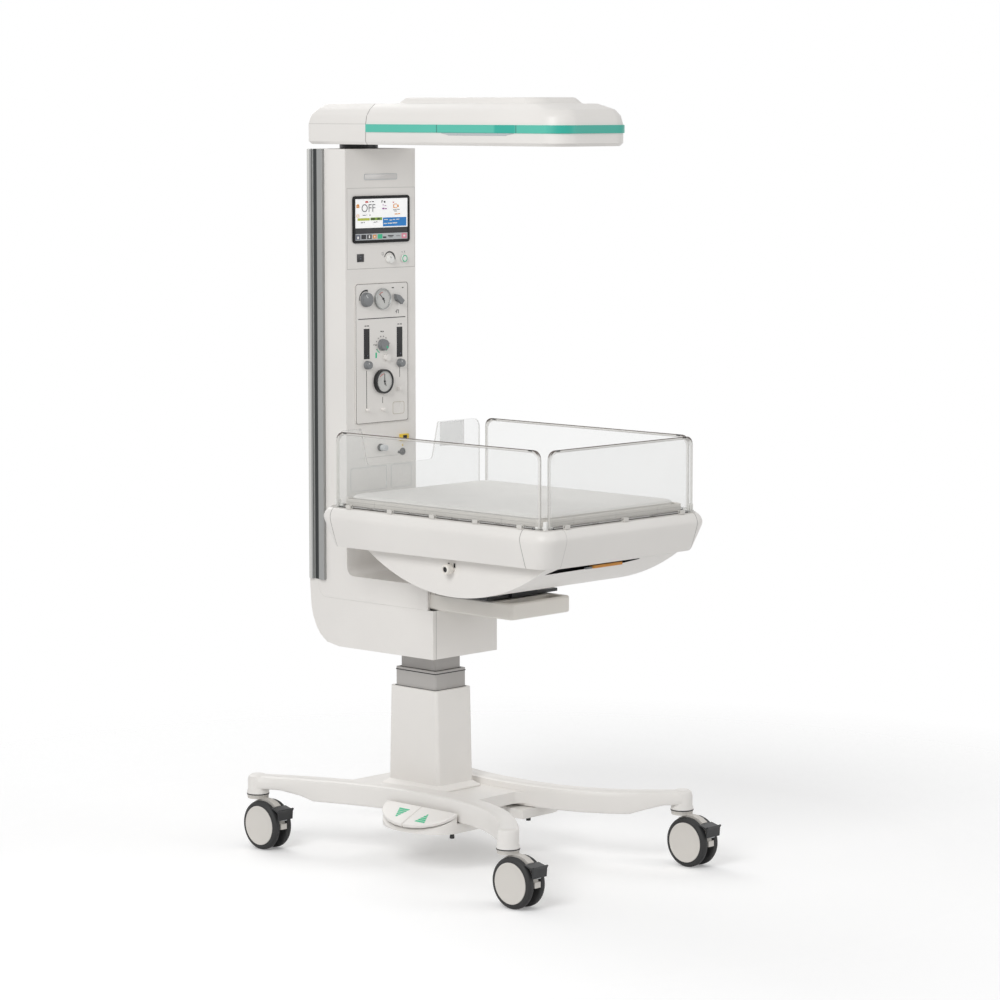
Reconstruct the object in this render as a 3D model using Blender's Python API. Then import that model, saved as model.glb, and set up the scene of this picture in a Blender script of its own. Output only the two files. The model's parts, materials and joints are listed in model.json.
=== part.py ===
import bpy
import bmesh
from math import acos, asin, cos, pi, radians, sin, sqrt, tan
from mathutils import Matrix, Vector

# Infant radiant warmer: an open bed with clear panels under a swivelling heater canopy, on a lift column.
# Metres, +Z up. The foot of the bed points along -Y and the column stands on the +Y side. Sizes along Y
# below are measured from the lift column's axis. The part's origin is the centre of its footprint.

# Clearances
GAP = 0.0003
RUNNING_GAP = 0.0010
OVERRUN = 0.02
MERGE = 0.00001
COVER_WALL = 0.003

# Casters
WHEEL_RADIUS = 0.0625
WHEEL_SPAN = 0.062
WHEEL_WIDTH = 0.0205
WHEEL_FACE_RADIUS = 0.050
WHEEL_FACE_DEPTH = 0.0020
TYRE_EDGE = 0.0035
AXLE_RADIUS = 0.005
AXLE_BORE_GAP = 0.0008
SWIVEL_OFFSET = 0.0345
FRONT_TRACK = 0.631
REAR_TRACK = 0.558
FRONT_AXLE_Y = -0.606
WHEELBASE = 0.918
FENDER_RADIUS = 0.0665
CASTER_PLATE_RADIUS = 0.056
CASTER_PLATE_THICK = 0.019
CASTER_HUB_RADIUS = 0.018
RING_RADIUS = 0.027
RING_GROOVE = 0.0012
RING_HEIGHT = 0.0108
RING_LOWER_HEIGHT = 0.0050
RING_GROOVE_HEIGHT = 0.0012
RING_BOSS_RADIUS = 0.016
STEM_RADIUS = 0.0055
STEM_LENGTH = 0.030
STEM_BORE_GAP = 0.0004
TAB_HALF_HEIGHT = 0.0075
BRAKE_REACH = 0.0735
BRAKE_HALF_WIDTH = 0.025
BRAKE_THICK = 0.0030
BRAKE_LIP_HEIGHT = 0.111
BRAKE_LOW = 0.082
BRAKE_PIVOT_OUT = 0.041
BRAKE_PIVOT_HEIGHT = 0.1105

# Base casting
SOCKET_BOTTOM = 0.1377
SOCKET_RADIUS = 0.0285
SOCKET_NECK_RADIUS = 0.0262
SOCKET_FLARE_HEIGHT = 0.012
SOCKET_CROWN = 0.009
SOCKET_TOP = 0.1878
LEG_TOP = 0.187
LEG_BOTTOM = 0.129
LEG_TIP_BOTTOM = 0.152
LEG_HALF_WIDTH = 0.033
LEG_TIP_HALF_WIDTH = 0.025
LEG_TOP_ROUND = 0.016
LEG_BOTTOM_ROUND = 0.007
LEG_WAIST_X = 0.1245
FRONT_LEG_BEND_SHARE = 2.75
REAR_LEG_BEND_SHARE = 1.7
FRONT_LEG_STEP_SHARE = 0.78
REAR_LEG_STEP_SHARE = 0.69
LEG_WAIST_Y = -0.126
BEAM_FRONT_Y = -0.222
BEAM_REAR_Y = 0.190
BEAM_TOP = 0.1675
BEAM_BOTTOM = 0.138
BEAM_FILLET = 0.040

# Foot switches
SWITCH_INNER_X = 0.064
SWITCH_LEG_GAP = 0.003423
SWITCH_CENTRE_Y = -0.143
SWITCH_HALF_LENGTH = 0.1225
SWITCH_REACH = 0.081
SWITCH_BOTTOM = 0.105
SWITCH_MARGIN = 0.004
PEDAL_HINGE_HEIGHT = 0.1530
PEDAL_THICK = 0.010
PEDAL_SLOPE = radians(25)
PEDAL_TRAVEL = radians(3)
PEDAL_SPARE = radians(0.5)
PEDAL_SPLIT = 0.0015
PEDAL_EDGE = 0.0025

# Lift column
COVER_HALF_X = 0.064
COVER_HALF_Y = 0.0895
COVER_TOP_HALF_Y = 0.083
COVER_BOTTOM = 0.183
COVER_TOP = 0.4235
COVER_ROUND = 0.010
COVER_FLANGE = 0.015
COVER_FLANGE_EDGE = 0.004
MIDDLE_HALF_X = 0.0549
MIDDLE_HALF_Y = 0.0715
MIDDLE_TOP = 0.4715
INNER_HALF_X = 0.046
INNER_HALF_Y = 0.062
TUBE_WALL = 0.0035
TUBE_ROUND = 0.006
LIFT_DOWN = 0.050
LIFT_FLOOR_GAP = 0.003
LIFT_SLIDE_GAP = 0.0005
LIFT_LIP = 0.006
MOTOR_RADIUS = 0.027
MOTOR_TOP = 0.300
SPINDLE_CASE_RADIUS = 0.018
SPINDLE_CASE_TOP = 0.440

# Column body: its side walls spread from front to rear
BODY_FRONT_Y = -0.123
BODY_REAR_Y = 0.310
BODY_FRONT_HALF = 0.1152
BODY_REAR_HALF = 0.1275
BODY_BOTTOM = 0.515
BODY_REAR_CORNER_Y = 0.104
BODY_REAR_CORNER_Z = 0.162
BODY_CORNER_POWER = 2.4
SEAM_Z = 0.638
CASING_FRONT_Y = -0.105
CASING_REAR_Y = 0.2785
CASING_SEAM_ROUND = 0.030
SHELF_Z = 0.700
SHELF_FILLET = 0.022
SHELF_EDGE = 0.008
COLUMN_FRONT_Y = 0.1755
COLUMN_TOP = 1.7775
REAR_COVER_BOTTOM = 0.712
REAR_BOX_HALF = 0.095
REAR_BOX_BOTTOM = 1.484
REAR_BOX_TOP = 1.728
REAR_BOX_DEPTH = 0.016
GRIP_HALF_LENGTH = 0.075
GRIP_RADIUS = 0.0205
GRIP_Z = 0.7385
GRIP_REACH = 0.037
RAIL_FRONT_Y = 0.249
RAIL_REAR_Y = 0.304
RAIL_CHANNEL_FRONT_Y = 0.270
RAIL_CHANNEL_REAR_Y = 0.289
RAIL_FACE_X = 0.1350
RAIL_CHANNEL_DEPTH = 0.0050
RAIL_BOTTOM = 0.683
PLATE_THICK = 0.008
CHASSIS_HALF = 0.098
CHASSIS_FRONT_Y = -0.095
CHASSIS_LIFT = 0.007
POST_WIDTH = 0.022
POST_DEPTH = 0.040

# Bed arm and cradle
ARM_HALF = 0.1066
ARM_FRONT_Y = -0.385
ARM_REAR_Y = -0.030
ARM_BOTTOM = 0.640
ARM_TOP = 0.681
ARM_ROUND = 0.012
ARM_EDGE = 0.004
ARM_POCKET_HALF = 0.088
ARM_POCKET_DEPTH = 0.012
ARM_POCKET_FRONT_Y = -0.373
ARM_POCKET_REAR_Y = -0.325
CRADLE_LIFT = 0.003
CRADLE_THICK = 0.008
CRADLE_HALF = 0.126
CRADLE_FRONT_Y = -0.321
CRADLE_REAR_Y = -0.140
CRADLE_BOTTOM = ARM_TOP + CRADLE_LIFT
CRADLE_TOP = CRADLE_BOTTOM + CRADLE_THICK
CRADLE_FOOT_HALF = 0.090
TILT_Y = -0.312
TILT_Z = 0.775
TILT_PIN_RADIUS = 0.008
TILT_PIN_HALF = 0.064
TILT_POST_HALF_X = 0.046
TILT_POST_HALF_Y = 0.016
TILT_LUG_THICK = 0.010
TILT_LUG_HALF_Y = 0.022

# Belly under the bed
BELLY_HALF = 0.240
BELLY_BOTTOM = 0.705
BELLY_ARC_RADIUS = 0.535
BELLY_ARC_Y = -0.316
BELLY_TOP = 0.7982
BELLY_WALL = 0.004
BELLY_ROUND = 0.008
BELLY_WELL_HALF_X = 0.052
BELLY_WELL_HALF_Y = 0.050
SLOT_HALF = 0.212
SLOT_Z = 0.7875
SLOT_HALF_HEIGHT = 0.0060
SLOT_DEPTH = 0.040
LEVER_LENGTH = 0.108
LEVER_LOW_X = -0.054
LEVER_HIGH_X = LEVER_LOW_X + LEVER_LENGTH
LEVER_THICK = 0.007
LEVER_PROUD = 0.002573
LEVER_DEPTH = 0.018
LEVER_PIN_RADIUS = 0.003
LEVER_EYE_RADIUS = 0.009
LEVER_EYE_BACK = 0.026
SIDE_KNOB_Y = -0.310
SIDE_KNOB_Z = 0.774
SIDE_KNOB_RADIUS = 0.013
SIDE_KNOB_TIP_RADIUS = 0.0065
SIDE_KNOB_LENGTH = 0.024
SIDE_KNOB_SHAFT = 0.005
SIDE_KNOB_COLLAR = 0.009
SIDE_KNOB_COLLAR_THICK = 0.003
SIDE_KNOB_DIMPLE = 0.003
SIDE_KNOB_WAIST_SHARE = 0.35
SIDE_KNOB_NECK_SHARE = 0.7

# Skirt around the bed
SKIRT_BOTTOM = 0.7985
SKIRT_WAIST = 0.8735
SKIRT_SHOULDER = 0.892
SKIRT_TOP = 0.897
SKIRT_BOTTOM_HALF = 0.270
SKIRT_WAIST_HALF = 0.2925
SKIRT_SHOULDER_HALF = 0.286
SKIRT_TOP_HALF = 0.2795
SKIRT_FRONT_Y = -0.6725
SKIRT_REAR_Y = 0.1050
SKIRT_ROUND = 0.033
SKIRT_WALL = 0.004
WELL_HALF = 0.272
WELL_FRONT_Y = -0.6520
WELL_REAR_Y = 0.0845
WELL_ROUND = 0.024
FLANGE_HALF = 0.232
FLANGE_FRONT_Y = -0.585
FLANGE_REAR_Y = -0.045

# Tray and mattress
TRAY_HALF = 0.252
TRAY_FRONT_Y = -0.628
TRAY_REAR_Y = 0.057
TRAY_TOP = 0.918
TRAY_FLOOR = 0.906
TRAY_RIM = 0.0035
TRAY_ROUND = 0.022
MATTRESS_HALF = 0.2465
MATTRESS_FRONT_Y = -0.6130
MATTRESS_REAR_Y = 0.0470
MATTRESS_EDGE_TOP = 0.9275
MATTRESS_CROWN = 0.0065
MATTRESS_DRAW = 0.0045
MATTRESS_ROUND = 0.035

# Clear panels and their hinges
PANEL_THICK = 0.005
PANEL_BOTTOM = 0.8995
PANEL_TOP = 1.0845
PANEL_ROUND = 0.022
SIDE_PANEL_X = 0.2655
SIDE_PANEL_FRONT_Y = -0.629
SIDE_PANEL_REAR_Y = 0.062
FOOT_PANEL_Y = -0.646
FOOT_PANEL_HALF = 0.2585
HINGE_OUT = 0.0115
HINGE_Z = 0.9025
ROD_RADIUS = 0.0018
ROD_GAP = 0.0006
ARM_TAB_LENGTH = 0.024
ARM_TAB_HALF_HEIGHT = 0.0013
CLIP_HALF = 0.0045
CLIP_LENGTH = 0.016
CLIP_TOP = 0.9065
CLIP_MOUTH_HALF = 0.0014
CLIP_FRAME_HALF = 0.0022
CLIP_FRAME_THICK = 0.0012
CLIP_FRAME_FRONT_Y = -0.6560
CLIP_FRAME_REAR_Y = 0.0880
HEAD_PANEL_Y = 0.072
HEAD_PANEL_HALF = 0.252
HEAD_PANEL_BOTTOM = 0.9025
HEAD_DIP_Z = 0.990
HEAD_DIP_NEAR_X = -0.150
HEAD_DIP_FAR_X = 0.078
HEAD_DIP_SLANT = 0.022
HEAD_DIP_ROUND = 0.012
HOLDER_HALF = 0.012
HOLDER_FRONT_Y = 0.0660
HOLDER_REAR_Y = 0.0905
HOLDER_TOP = 0.916
HOLDER_X = 0.170

# Display and controls on the column
BEZEL_HALF = 0.100
BEZEL_BOTTOM = 1.5405
BEZEL_TOP = 1.6595
BEZEL_THICK = 0.004
BEZEL_ROUND = 0.008
BEZEL_RIM = 0.0075
SCREEN_DEPTH = 0.0012
CONTROL_Z = 1.498
VOLUME_X = 0.030
VOLUME_RADIUS = 0.011
VOLUME_DEPTH = 0.010
POWER_X = 0.080
POWER_RADIUS = 0.0095
POWER_DEPTH = 0.0040
POWER_COLLAR = 0.0015
POWER_TRAVEL = 0.0020
POWER_STEM_RADIUS = 0.0040
POWER_STEM_LENGTH = 0.0060

# Gas panel
GAS_HALF = 0.0931
GAS_BOTTOM = 1.0825
GAS_TOP = 1.4385
GAS_THICK = 0.003
GAS_ROUND = 0.008
SUCTION_ROW_Z = 1.398
SUCTION_KNOB_X = -0.0575
SUCTION_KNOB_RADIUS = 0.0185
SUCTION_KNOB_DEPTH = 0.013
SUCTION_GAUGE_RADIUS = 0.0270
SUCTION_GAUGE_DEPTH = 0.008
PRESSURE_GAUGE_Z = 1.188
PRESSURE_GAUGE_RADIUS = 0.0310
PRESSURE_GAUGE_DEPTH = 0.012
GAUGE_BEZEL = 0.0030
GAUGE_RECESS = 0.0020
TOGGLE_X = 0.052
TOGGLE_DISC_RADIUS = 0.0085
TOGGLE_DISC_DEPTH = 0.0045
TOGGLE_LENGTH = 0.034
TOGGLE_POINT = 0.012
TOGGLE_WIDTH = 0.013
TOGGLE_DEPTH = 0.013
TOGGLE_REST = radians(40)
TUBE_X = 0.0585
TUBE_SHIFT_X = 0.004
FLOW_KNOB_Z = 1.232
FLOW_KNOB_RADIUS = 0.0108
FLOW_KNOB_DEPTH = 0.014
BLENDER_Z = 1.281
BLENDER_RADIUS = 0.0150
BLENDER_DEPTH = 0.014
OUTLET_RADIUS = 0.0088
OUTLET_DEPTH = 0.009
NOZZLE_RADIUS = 0.0042
NOZZLE_DEPTH = 0.012
PAD_HALF = 0.0135
PAD_DEPTH = 0.0012

# Canopy
HOOD_SEAM_Y = 0.094
HOOD_FRONT_Y = -0.566
CAP_REAR_Y = 0.312
CANOPY_HALF = 0.1330
CANOPY_OVER_COLUMN = 0.012
CANOPY_BOTTOM = COLUMN_TOP + CANOPY_OVER_COLUMN
CANOPY_LIP_RISE = 0.0075
STRIPE_BOTTOM_RISE = 0.0310
STRIPE_TOP_RISE = 0.0505
CANOPY_CHEEK_RISE = 0.0725
CANOPY_EDGE_RISE = 0.0875
CANOPY_SHOULDER_RISE = 0.1015
PLATEAU_TOP_RISE = 0.1165
PIVOT_SPINDLE_RISE = 0.0705
ELEMENT_RISE = 0.0325
CANOPY_LIP = CANOPY_BOTTOM + CANOPY_LIP_RISE
STRIPE_BOTTOM = CANOPY_BOTTOM + STRIPE_BOTTOM_RISE
STRIPE_TOP = CANOPY_BOTTOM + STRIPE_TOP_RISE
CANOPY_CHEEK = CANOPY_BOTTOM + CANOPY_CHEEK_RISE
CANOPY_EDGE = CANOPY_BOTTOM + CANOPY_EDGE_RISE
CANOPY_SHOULDER = CANOPY_BOTTOM + CANOPY_SHOULDER_RISE
PLATEAU_TOP = CANOPY_BOTTOM + PLATEAU_TOP_RISE
PLATEAU_STEP = 0.0006
CANOPY_ROUND = 0.060
CANOPY_REAR_ROUND = 0.018
CANOPY_SEAM_ROUND = 0.0015
CANOPY_WALL = 0.003
STRIPE_PROUD = 0.0025
LIP_DRAW = 0.0085
CHEEK_DRAW = 0.0060
EDGE_DRAW = 0.0175
SHOULDER_DRAW = 0.036
SHOULDER_FRONT_DRAW = 0.062
PLATEAU_BASE_HALF = 0.090
PLATEAU_HALF = 0.080
PLATEAU_BASE_FRONT_Y = -0.458
PLATEAU_BASE_REAR_Y = 0.018
PLATEAU_RAMP = 0.020
PLATEAU_ROUND = 0.012
PIVOT_Y = 0.254
PIVOT_RADIUS = 0.049
PIVOT_SPINDLE_RADIUS = 0.020
PIVOT_SPINDLE_TOP = CANOPY_BOTTOM + PIVOT_SPINDLE_RISE
HUB_WALL = 0.010
SHAFT_GAP = 0.0008
GRILLE_INSET = 0.0006
GRILLE_THICK = 0.003
GRILLE_HALF = 0.078
GRILLE_FRONT_Y = -0.500
GRILLE_REAR_Y = -0.040
GRILLE_BAR = 0.0035
GRILLE_SLOTS = 18
ELEMENT_X = 0.030
ELEMENT_RADIUS = 0.0060
ELEMENT_Z = CANOPY_BOTTOM + ELEMENT_RISE
ELEMENT_BRACKET_THICK = 0.006
ELEMENT_BRACKET_MARGIN = 0.007

FRONT_WHEEL_Y = FRONT_AXLE_Y
REAR_WHEEL_Y = FRONT_AXLE_Y + WHEELBASE
# The pedals start beside the leg, at the end of the switch where the leg is furthest out.
SWITCH_REAR_SHARE = ((SWITCH_CENTRE_Y + SWITCH_HALF_LENGTH - LEG_WAIST_Y)
                     / (REAR_WHEEL_Y + SWIVEL_OFFSET - LEG_WAIST_Y))
LEG_OUT_AT_SWITCH = (REAR_TRACK / 2 - LEG_WAIST_X) * SWITCH_REAR_SHARE ** REAR_LEG_BEND_SHARE
SWITCH_PEDAL_X = LEG_WAIST_X + LEG_OUT_AT_SWITCH + LEG_HALF_WIDTH + SWITCH_LEG_GAP
# The lever's end stands a little proud of the belly at the slot.
SLOT_OVER_CENTRE = BELLY_BOTTOM + BELLY_ARC_RADIUS - SLOT_Z
LEVER_FRONT_Y = BELLY_ARC_Y - sqrt(BELLY_ARC_RADIUS ** 2 - SLOT_OVER_CENTRE ** 2) - LEVER_PROUD
LEVER_EYE_Y = LEVER_FRONT_Y + LEVER_EYE_BACK
FOOTPRINT_FRONT = FRONT_AXLE_Y - BRAKE_REACH
FOOTPRINT_REAR = REAR_WHEEL_Y + FENDER_RADIUS
FOOTPRINT_CENTRE_Y = (FOOTPRINT_FRONT + FOOTPRINT_REAR) / 2

TO_FRONT = Matrix.Rotation(radians(90), 4, "X")
TO_SIDE = Matrix.Rotation(radians(90), 4, "Y")
SMOOTH_ANGLE = radians(40)

SIDES = (("left", -1), ("right", 1))

bodies = {}


# Scene and objects
def clear_scene():
    for old in list(bpy.data.objects):
        bpy.data.objects.remove(old, do_unlink=True)


def material(name, colour, roughness, metallic=0.0, transmission=0.0):
    made = bpy.data.materials.new(name)
    made.use_nodes = True
    shader = made.node_tree.nodes["Principled BSDF"]
    shader.inputs["Base Color"].default_value = (*colour, 1.0)
    shader.inputs["Roughness"].default_value = roughness
    shader.inputs["Metallic"].default_value = metallic
    shader.inputs["Transmission Weight"].default_value = transmission
    return made


def body(name, pivot, parent=None):
    empty = bpy.data.objects.new(name, None)
    bpy.context.scene.collection.objects.link(empty)
    place = Vector(pivot)
    if parent:
        empty.parent = bodies[parent][0]
        empty.location = place - bodies[parent][1]
    else:
        empty.location = place - Vector((0.0, FOOTPRINT_CENTRE_Y, 0.0))
    bodies[name] = (empty, place)


def as_object(name, bm, body_name):
    bmesh.ops.recalc_face_normals(bm, faces=bm.faces)
    mesh = bpy.data.meshes.new(name)
    bm.to_mesh(mesh)
    bm.free()
    mesh.shade_smooth()
    mesh.set_sharp_from_angle(angle=SMOOTH_ANGLE)
    made = bpy.data.objects.new(name, mesh)
    bpy.context.scene.collection.objects.link(made)
    empty, pivot = bodies[body_name]
    made.parent = empty
    made.location = -pivot
    return made


def piece(name, bm, body_name, finish):
    made = as_object(name, bm, body_name)
    made.data.materials.append(finish)
    made["body"] = body_name
    return made


def combine(target, bm, operation):
    tool = as_object(f"{target.name}_{operation.lower()}_{len(target.modifiers)}", bm, target["body"])
    tool.hide_render = True
    tool.display_type = "WIRE"
    step = target.modifiers.new(operation.title(), "BOOLEAN")
    step.operation = operation
    step.solver = "EXACT"
    step.object = tool


def cut(target, bm):
    combine(target, bm, "DIFFERENCE")


def join(target, bm):
    combine(target, bm, "UNION")


def soften(target, width, segments=2, angle=radians(35)):
    step = target.modifiers.new("Soft edges", "BEVEL")
    step.width = width
    step.segments = segments
    step.limit_method = "ANGLE"
    step.angle_limit = angle


# Shapes
def arc(centre, radius, start, end, steps):
    turn = (end - start) / steps
    return [(centre[0] + radius * cos(start + turn * i), centre[1] + radius * sin(start + turn * i))
            for i in range(steps + 1)]


def rounded(corners, steps=4):
    # Outline through corners given as (x, y, radius), with each corner turned into an arc.
    outline = []
    for index, (x, y, radius) in enumerate(corners):
        here = Vector((x, y))
        before = (Vector(corners[index - 1][:2]) - here).normalized()
        after = (Vector(corners[(index + 1) % len(corners)][:2]) - here).normalized()
        if not radius:
            outline.append((x, y))
            continue
        half = acos(max(-1.0, min(1.0, before.dot(after)))) / 2
        centre = here + (before + after).normalized() * radius / sin(half)
        first = here + before * radius / tan(half) - centre
        sweep = first.angle_signed(here + after * radius / tan(half) - centre)
        for i in range(steps + 1):
            spoke = first.copy()
            spoke.rotate(Matrix.Rotation(-sweep * i / steps, 2))
            outline.append(tuple(centre + spoke))
    return outline


def rounded_box_outline(low_x, high_x, low_y, high_y, radius, steps=4):
    return rounded([(low_x, low_y, radius), (high_x, low_y, radius), (high_x, high_y, radius),
                    (low_x, high_y, radius)], steps)


def add_prism(bm, outline, low, high, place=Matrix()):
    # Outline in the XY plane, drawn out from low to high along Z, then placed.
    corners = [bm.verts.new(place @ Vector((x, y, low))) for x, y in outline]
    face = bm.faces.new(corners)
    grown = bmesh.ops.extrude_face_region(bm, geom=[face])
    moved = [item for item in grown["geom"] if isinstance(item, bmesh.types.BMVert)]
    rise = place.to_3x3() @ Vector((0.0, 0.0, high - low))
    bmesh.ops.translate(bm, vec=rise, verts=moved)


def add_box(bm, low, high):
    add_prism(bm, [(low[0], low[1]), (high[0], low[1]), (high[0], high[1]), (low[0], high[1])],
              low[2], high[2])


def add_across(bm, outline, half):
    # Outline in the YZ plane, drawn across X between the side walls whose half width is half(y).
    left = [bm.verts.new((-half(y), y, z)) for y, z in outline]
    right = [bm.verts.new((half(y), y, z)) for y, z in outline]
    bm.faces.new(left)
    bm.faces.new(list(reversed(right)))
    for i in range(len(outline)):
        j = (i + 1) % len(outline)
        bm.faces.new((left[j], left[i], right[i], right[j]))


def add_loft(bm, rings):
    rows = [[bm.verts.new(point) for point in ring] for ring in rings]
    for low, high in zip(rows, rows[1:]):
        for i in range(len(low)):
            j = (i + 1) % len(low)
            bm.faces.new((low[i], low[j], high[j], high[i]))
    bm.faces.new(list(reversed(rows[0])))
    bm.faces.new(rows[-1])


def add_turned(bm, profile, segments, place=Matrix(), closed=False):
    # Profile of (radius, height) points, turned about Z and then placed.
    points = [bm.verts.new((radius, 0.0, height)) for radius, height in profile]
    pairs = list(zip(points, points[1:]))
    if closed:
        pairs.append((points[-1], points[0]))
    edges = [bm.edges.new(pair) for pair in pairs]
    before = set(bm.verts) - set(points)
    bmesh.ops.spin(bm, geom=points + edges, cent=(0, 0, 0), axis=(0, 0, 1), dvec=(0, 0, 0),
                   angle=2 * pi, steps=segments, use_merge=True, use_duplicate=False)
    grown = [vertex for vertex in bm.verts if vertex not in before]
    bmesh.ops.transform(bm, matrix=place, verts=grown)
    bmesh.ops.remove_doubles(bm, verts=grown, dist=MERGE)


def rod(bm, radius, low, high, segments, place=Matrix()):
    add_turned(bm, [(0.0, high), (radius, high), (radius, low), (0.0, low)], segments, place)


def front_place(x, y, z):
    # Turns +Z to face the foot end, at a point of the column's front.
    return Matrix.Translation((x, y, z)) @ TO_FRONT


def across_place(x):
    # Turns an outline of (y, z) points so that it is drawn out along X.
    return Matrix(((0, 0, 1, x), (1, 0, 0, 0), (0, 1, 0, 0), (0, 0, 0, 1)))


def flat(value):
    return lambda y: value


# Casters
def caster_places():
    places = {}
    for side, sign in SIDES:
        places[f"front_{side}"] = (sign * FRONT_TRACK / 2, FRONT_WHEEL_Y)
        places[f"rear_{side}"] = (sign * REAR_TRACK / 2, REAR_WHEEL_Y)
    return places


def caster_housing(name, x, y, finish):
    ring_low = SOCKET_BOTTOM - RUNNING_GAP / 2 - RING_HEIGHT
    swivel = Matrix.Translation((x, y + SWIVEL_OFFSET, 0.0))
    ring_top = ring_low + RING_HEIGHT - GAP
    groove_low = ring_low + RING_LOWER_HEIGHT
    boss_top = SOCKET_BOTTOM - GAP
    ring = bmesh.new()
    add_turned(ring, [(0.0, boss_top + STEM_LENGTH), (STEM_RADIUS, boss_top + STEM_LENGTH),
                      (STEM_RADIUS, boss_top), (RING_BOSS_RADIUS, boss_top),
                      (RING_BOSS_RADIUS, ring_top), (RING_RADIUS, ring_top),
                      (RING_RADIUS, groove_low + RING_GROOVE_HEIGHT),
                      (RING_RADIUS - RING_GROOVE, groove_low), (RING_RADIUS, groove_low),
                      (RING_RADIUS, ring_low), (0.0, ring_low)], 16, swivel)
    made = piece(f"caster_{name}_housing", ring, f"caster_{name}", finish)
    centre = (y, WHEEL_RADIUS)
    fender_end = radians(128.5)
    plate_end = radians(172)
    tab_turn = asin(TAB_HALF_HEIGHT / FENDER_RADIUS)
    outline = arc(centre, FENDER_RADIUS, 0.0, fender_end, 9)
    outline += arc(centre, CASTER_PLATE_RADIUS, fender_end, plate_end, 3)
    outline += arc(centre, WHEEL_RADIUS + GAP, plate_end + GAP, plate_end + 2 * tab_turn, 1)
    outline += arc(centre, CASTER_HUB_RADIUS, radians(215), radians(335), 5)
    plate = bmesh.new()
    half = CASTER_PLATE_THICK / 2
    left = [plate.verts.new((x - half, *point)) for point in outline]
    face = plate.faces.new(left)
    grown = bmesh.ops.extrude_face_region(plate, geom=[face])
    moved = [item for item in grown["geom"] if isinstance(item, bmesh.types.BMVert)]
    bmesh.ops.translate(plate, vec=(CASTER_PLATE_THICK, 0.0, 0.0), verts=moved)
    join(made, plate)
    bore = bmesh.new()
    rod(bore, AXLE_RADIUS + AXLE_BORE_GAP, -half - OVERRUN, half + OVERRUN, 16,
        Matrix.Translation((x, y, WHEEL_RADIUS)) @ TO_SIDE)
    cut(made, bore)


def caster_wheels(name, x, y, finish):
    outer = WHEEL_SPAN / 2
    inner = outer - WHEEL_WIDTH
    face = outer - WHEEL_FACE_DEPTH
    half = [(0.0, face), (WHEEL_FACE_RADIUS, face), (WHEEL_FACE_RADIUS + WHEEL_FACE_DEPTH, outer),
            (WHEEL_RADIUS - TYRE_EDGE, outer), (WHEEL_RADIUS, outer - TYRE_EDGE),
            (WHEEL_RADIUS, inner + TYRE_EDGE), (WHEEL_RADIUS - TYRE_EDGE, inner), (AXLE_RADIUS, inner)]
    profile = half + [(radius, -height) for radius, height in reversed(half)]
    bm = bmesh.new()
    turn = Matrix.Rotation(radians(90), 4, "Z")
    add_turned(bm, profile, 20, Matrix.Translation((x, y, WHEEL_RADIUS)) @ TO_SIDE @ turn)
    piece(f"caster_{name}_wheels", bm, f"caster_{name}_axle", finish)


def caster_brake(name, x, y, finish):
    # Lever profile in (distance out towards the foot end, height), from the pivot out over the wheels.
    root = BRAKE_PIVOT_OUT + GAP
    lip = BRAKE_REACH
    wall = WHEEL_RADIUS + BRAKE_THICK + RUNNING_GAP
    outline = [(root, BRAKE_PIVOT_HEIGHT + BRAKE_THICK), (wall - BRAKE_THICK, BRAKE_LIP_HEIGHT - BRAKE_THICK),
               (lip - BRAKE_THICK, BRAKE_LIP_HEIGHT), (lip, BRAKE_LIP_HEIGHT - BRAKE_THICK / 2),
               (wall + BRAKE_THICK, BRAKE_LIP_HEIGHT - 3 * BRAKE_THICK), (wall + BRAKE_THICK / 2, BRAKE_LOW),
               (wall, BRAKE_LOW), (wall - BRAKE_THICK / 2, BRAKE_LIP_HEIGHT - 3 * BRAKE_THICK),
               (root + BRAKE_THICK, BRAKE_PIVOT_HEIGHT)]
    bm = bmesh.new()
    corners = [bm.verts.new((x - BRAKE_HALF_WIDTH, y - out, height)) for out, height in outline]
    face = bm.faces.new(corners)
    grown = bmesh.ops.extrude_face_region(bm, geom=[face])
    moved = [item for item in grown["geom"] if isinstance(item, bmesh.types.BMVert)]
    bmesh.ops.translate(bm, vec=(2 * BRAKE_HALF_WIDTH, 0.0, 0.0), verts=moved)
    piece(f"caster_{name}_brake", bm, f"caster_{name}_pedal", finish)


def casters(grey, black):
    for name, (x, y) in caster_places().items():
        body(f"caster_{name}", (x, y + SWIVEL_OFFSET, SOCKET_BOTTOM), "base")
        body(f"caster_{name}_axle", (x, y, WHEEL_RADIUS), f"caster_{name}")
        body(f"caster_{name}_pedal", (x, y - BRAKE_PIVOT_OUT, BRAKE_PIVOT_HEIGHT), f"caster_{name}")
        caster_housing(name, x, y, grey)
        caster_wheels(name, x, y, black)
        caster_brake(name, x, y, black)


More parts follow.
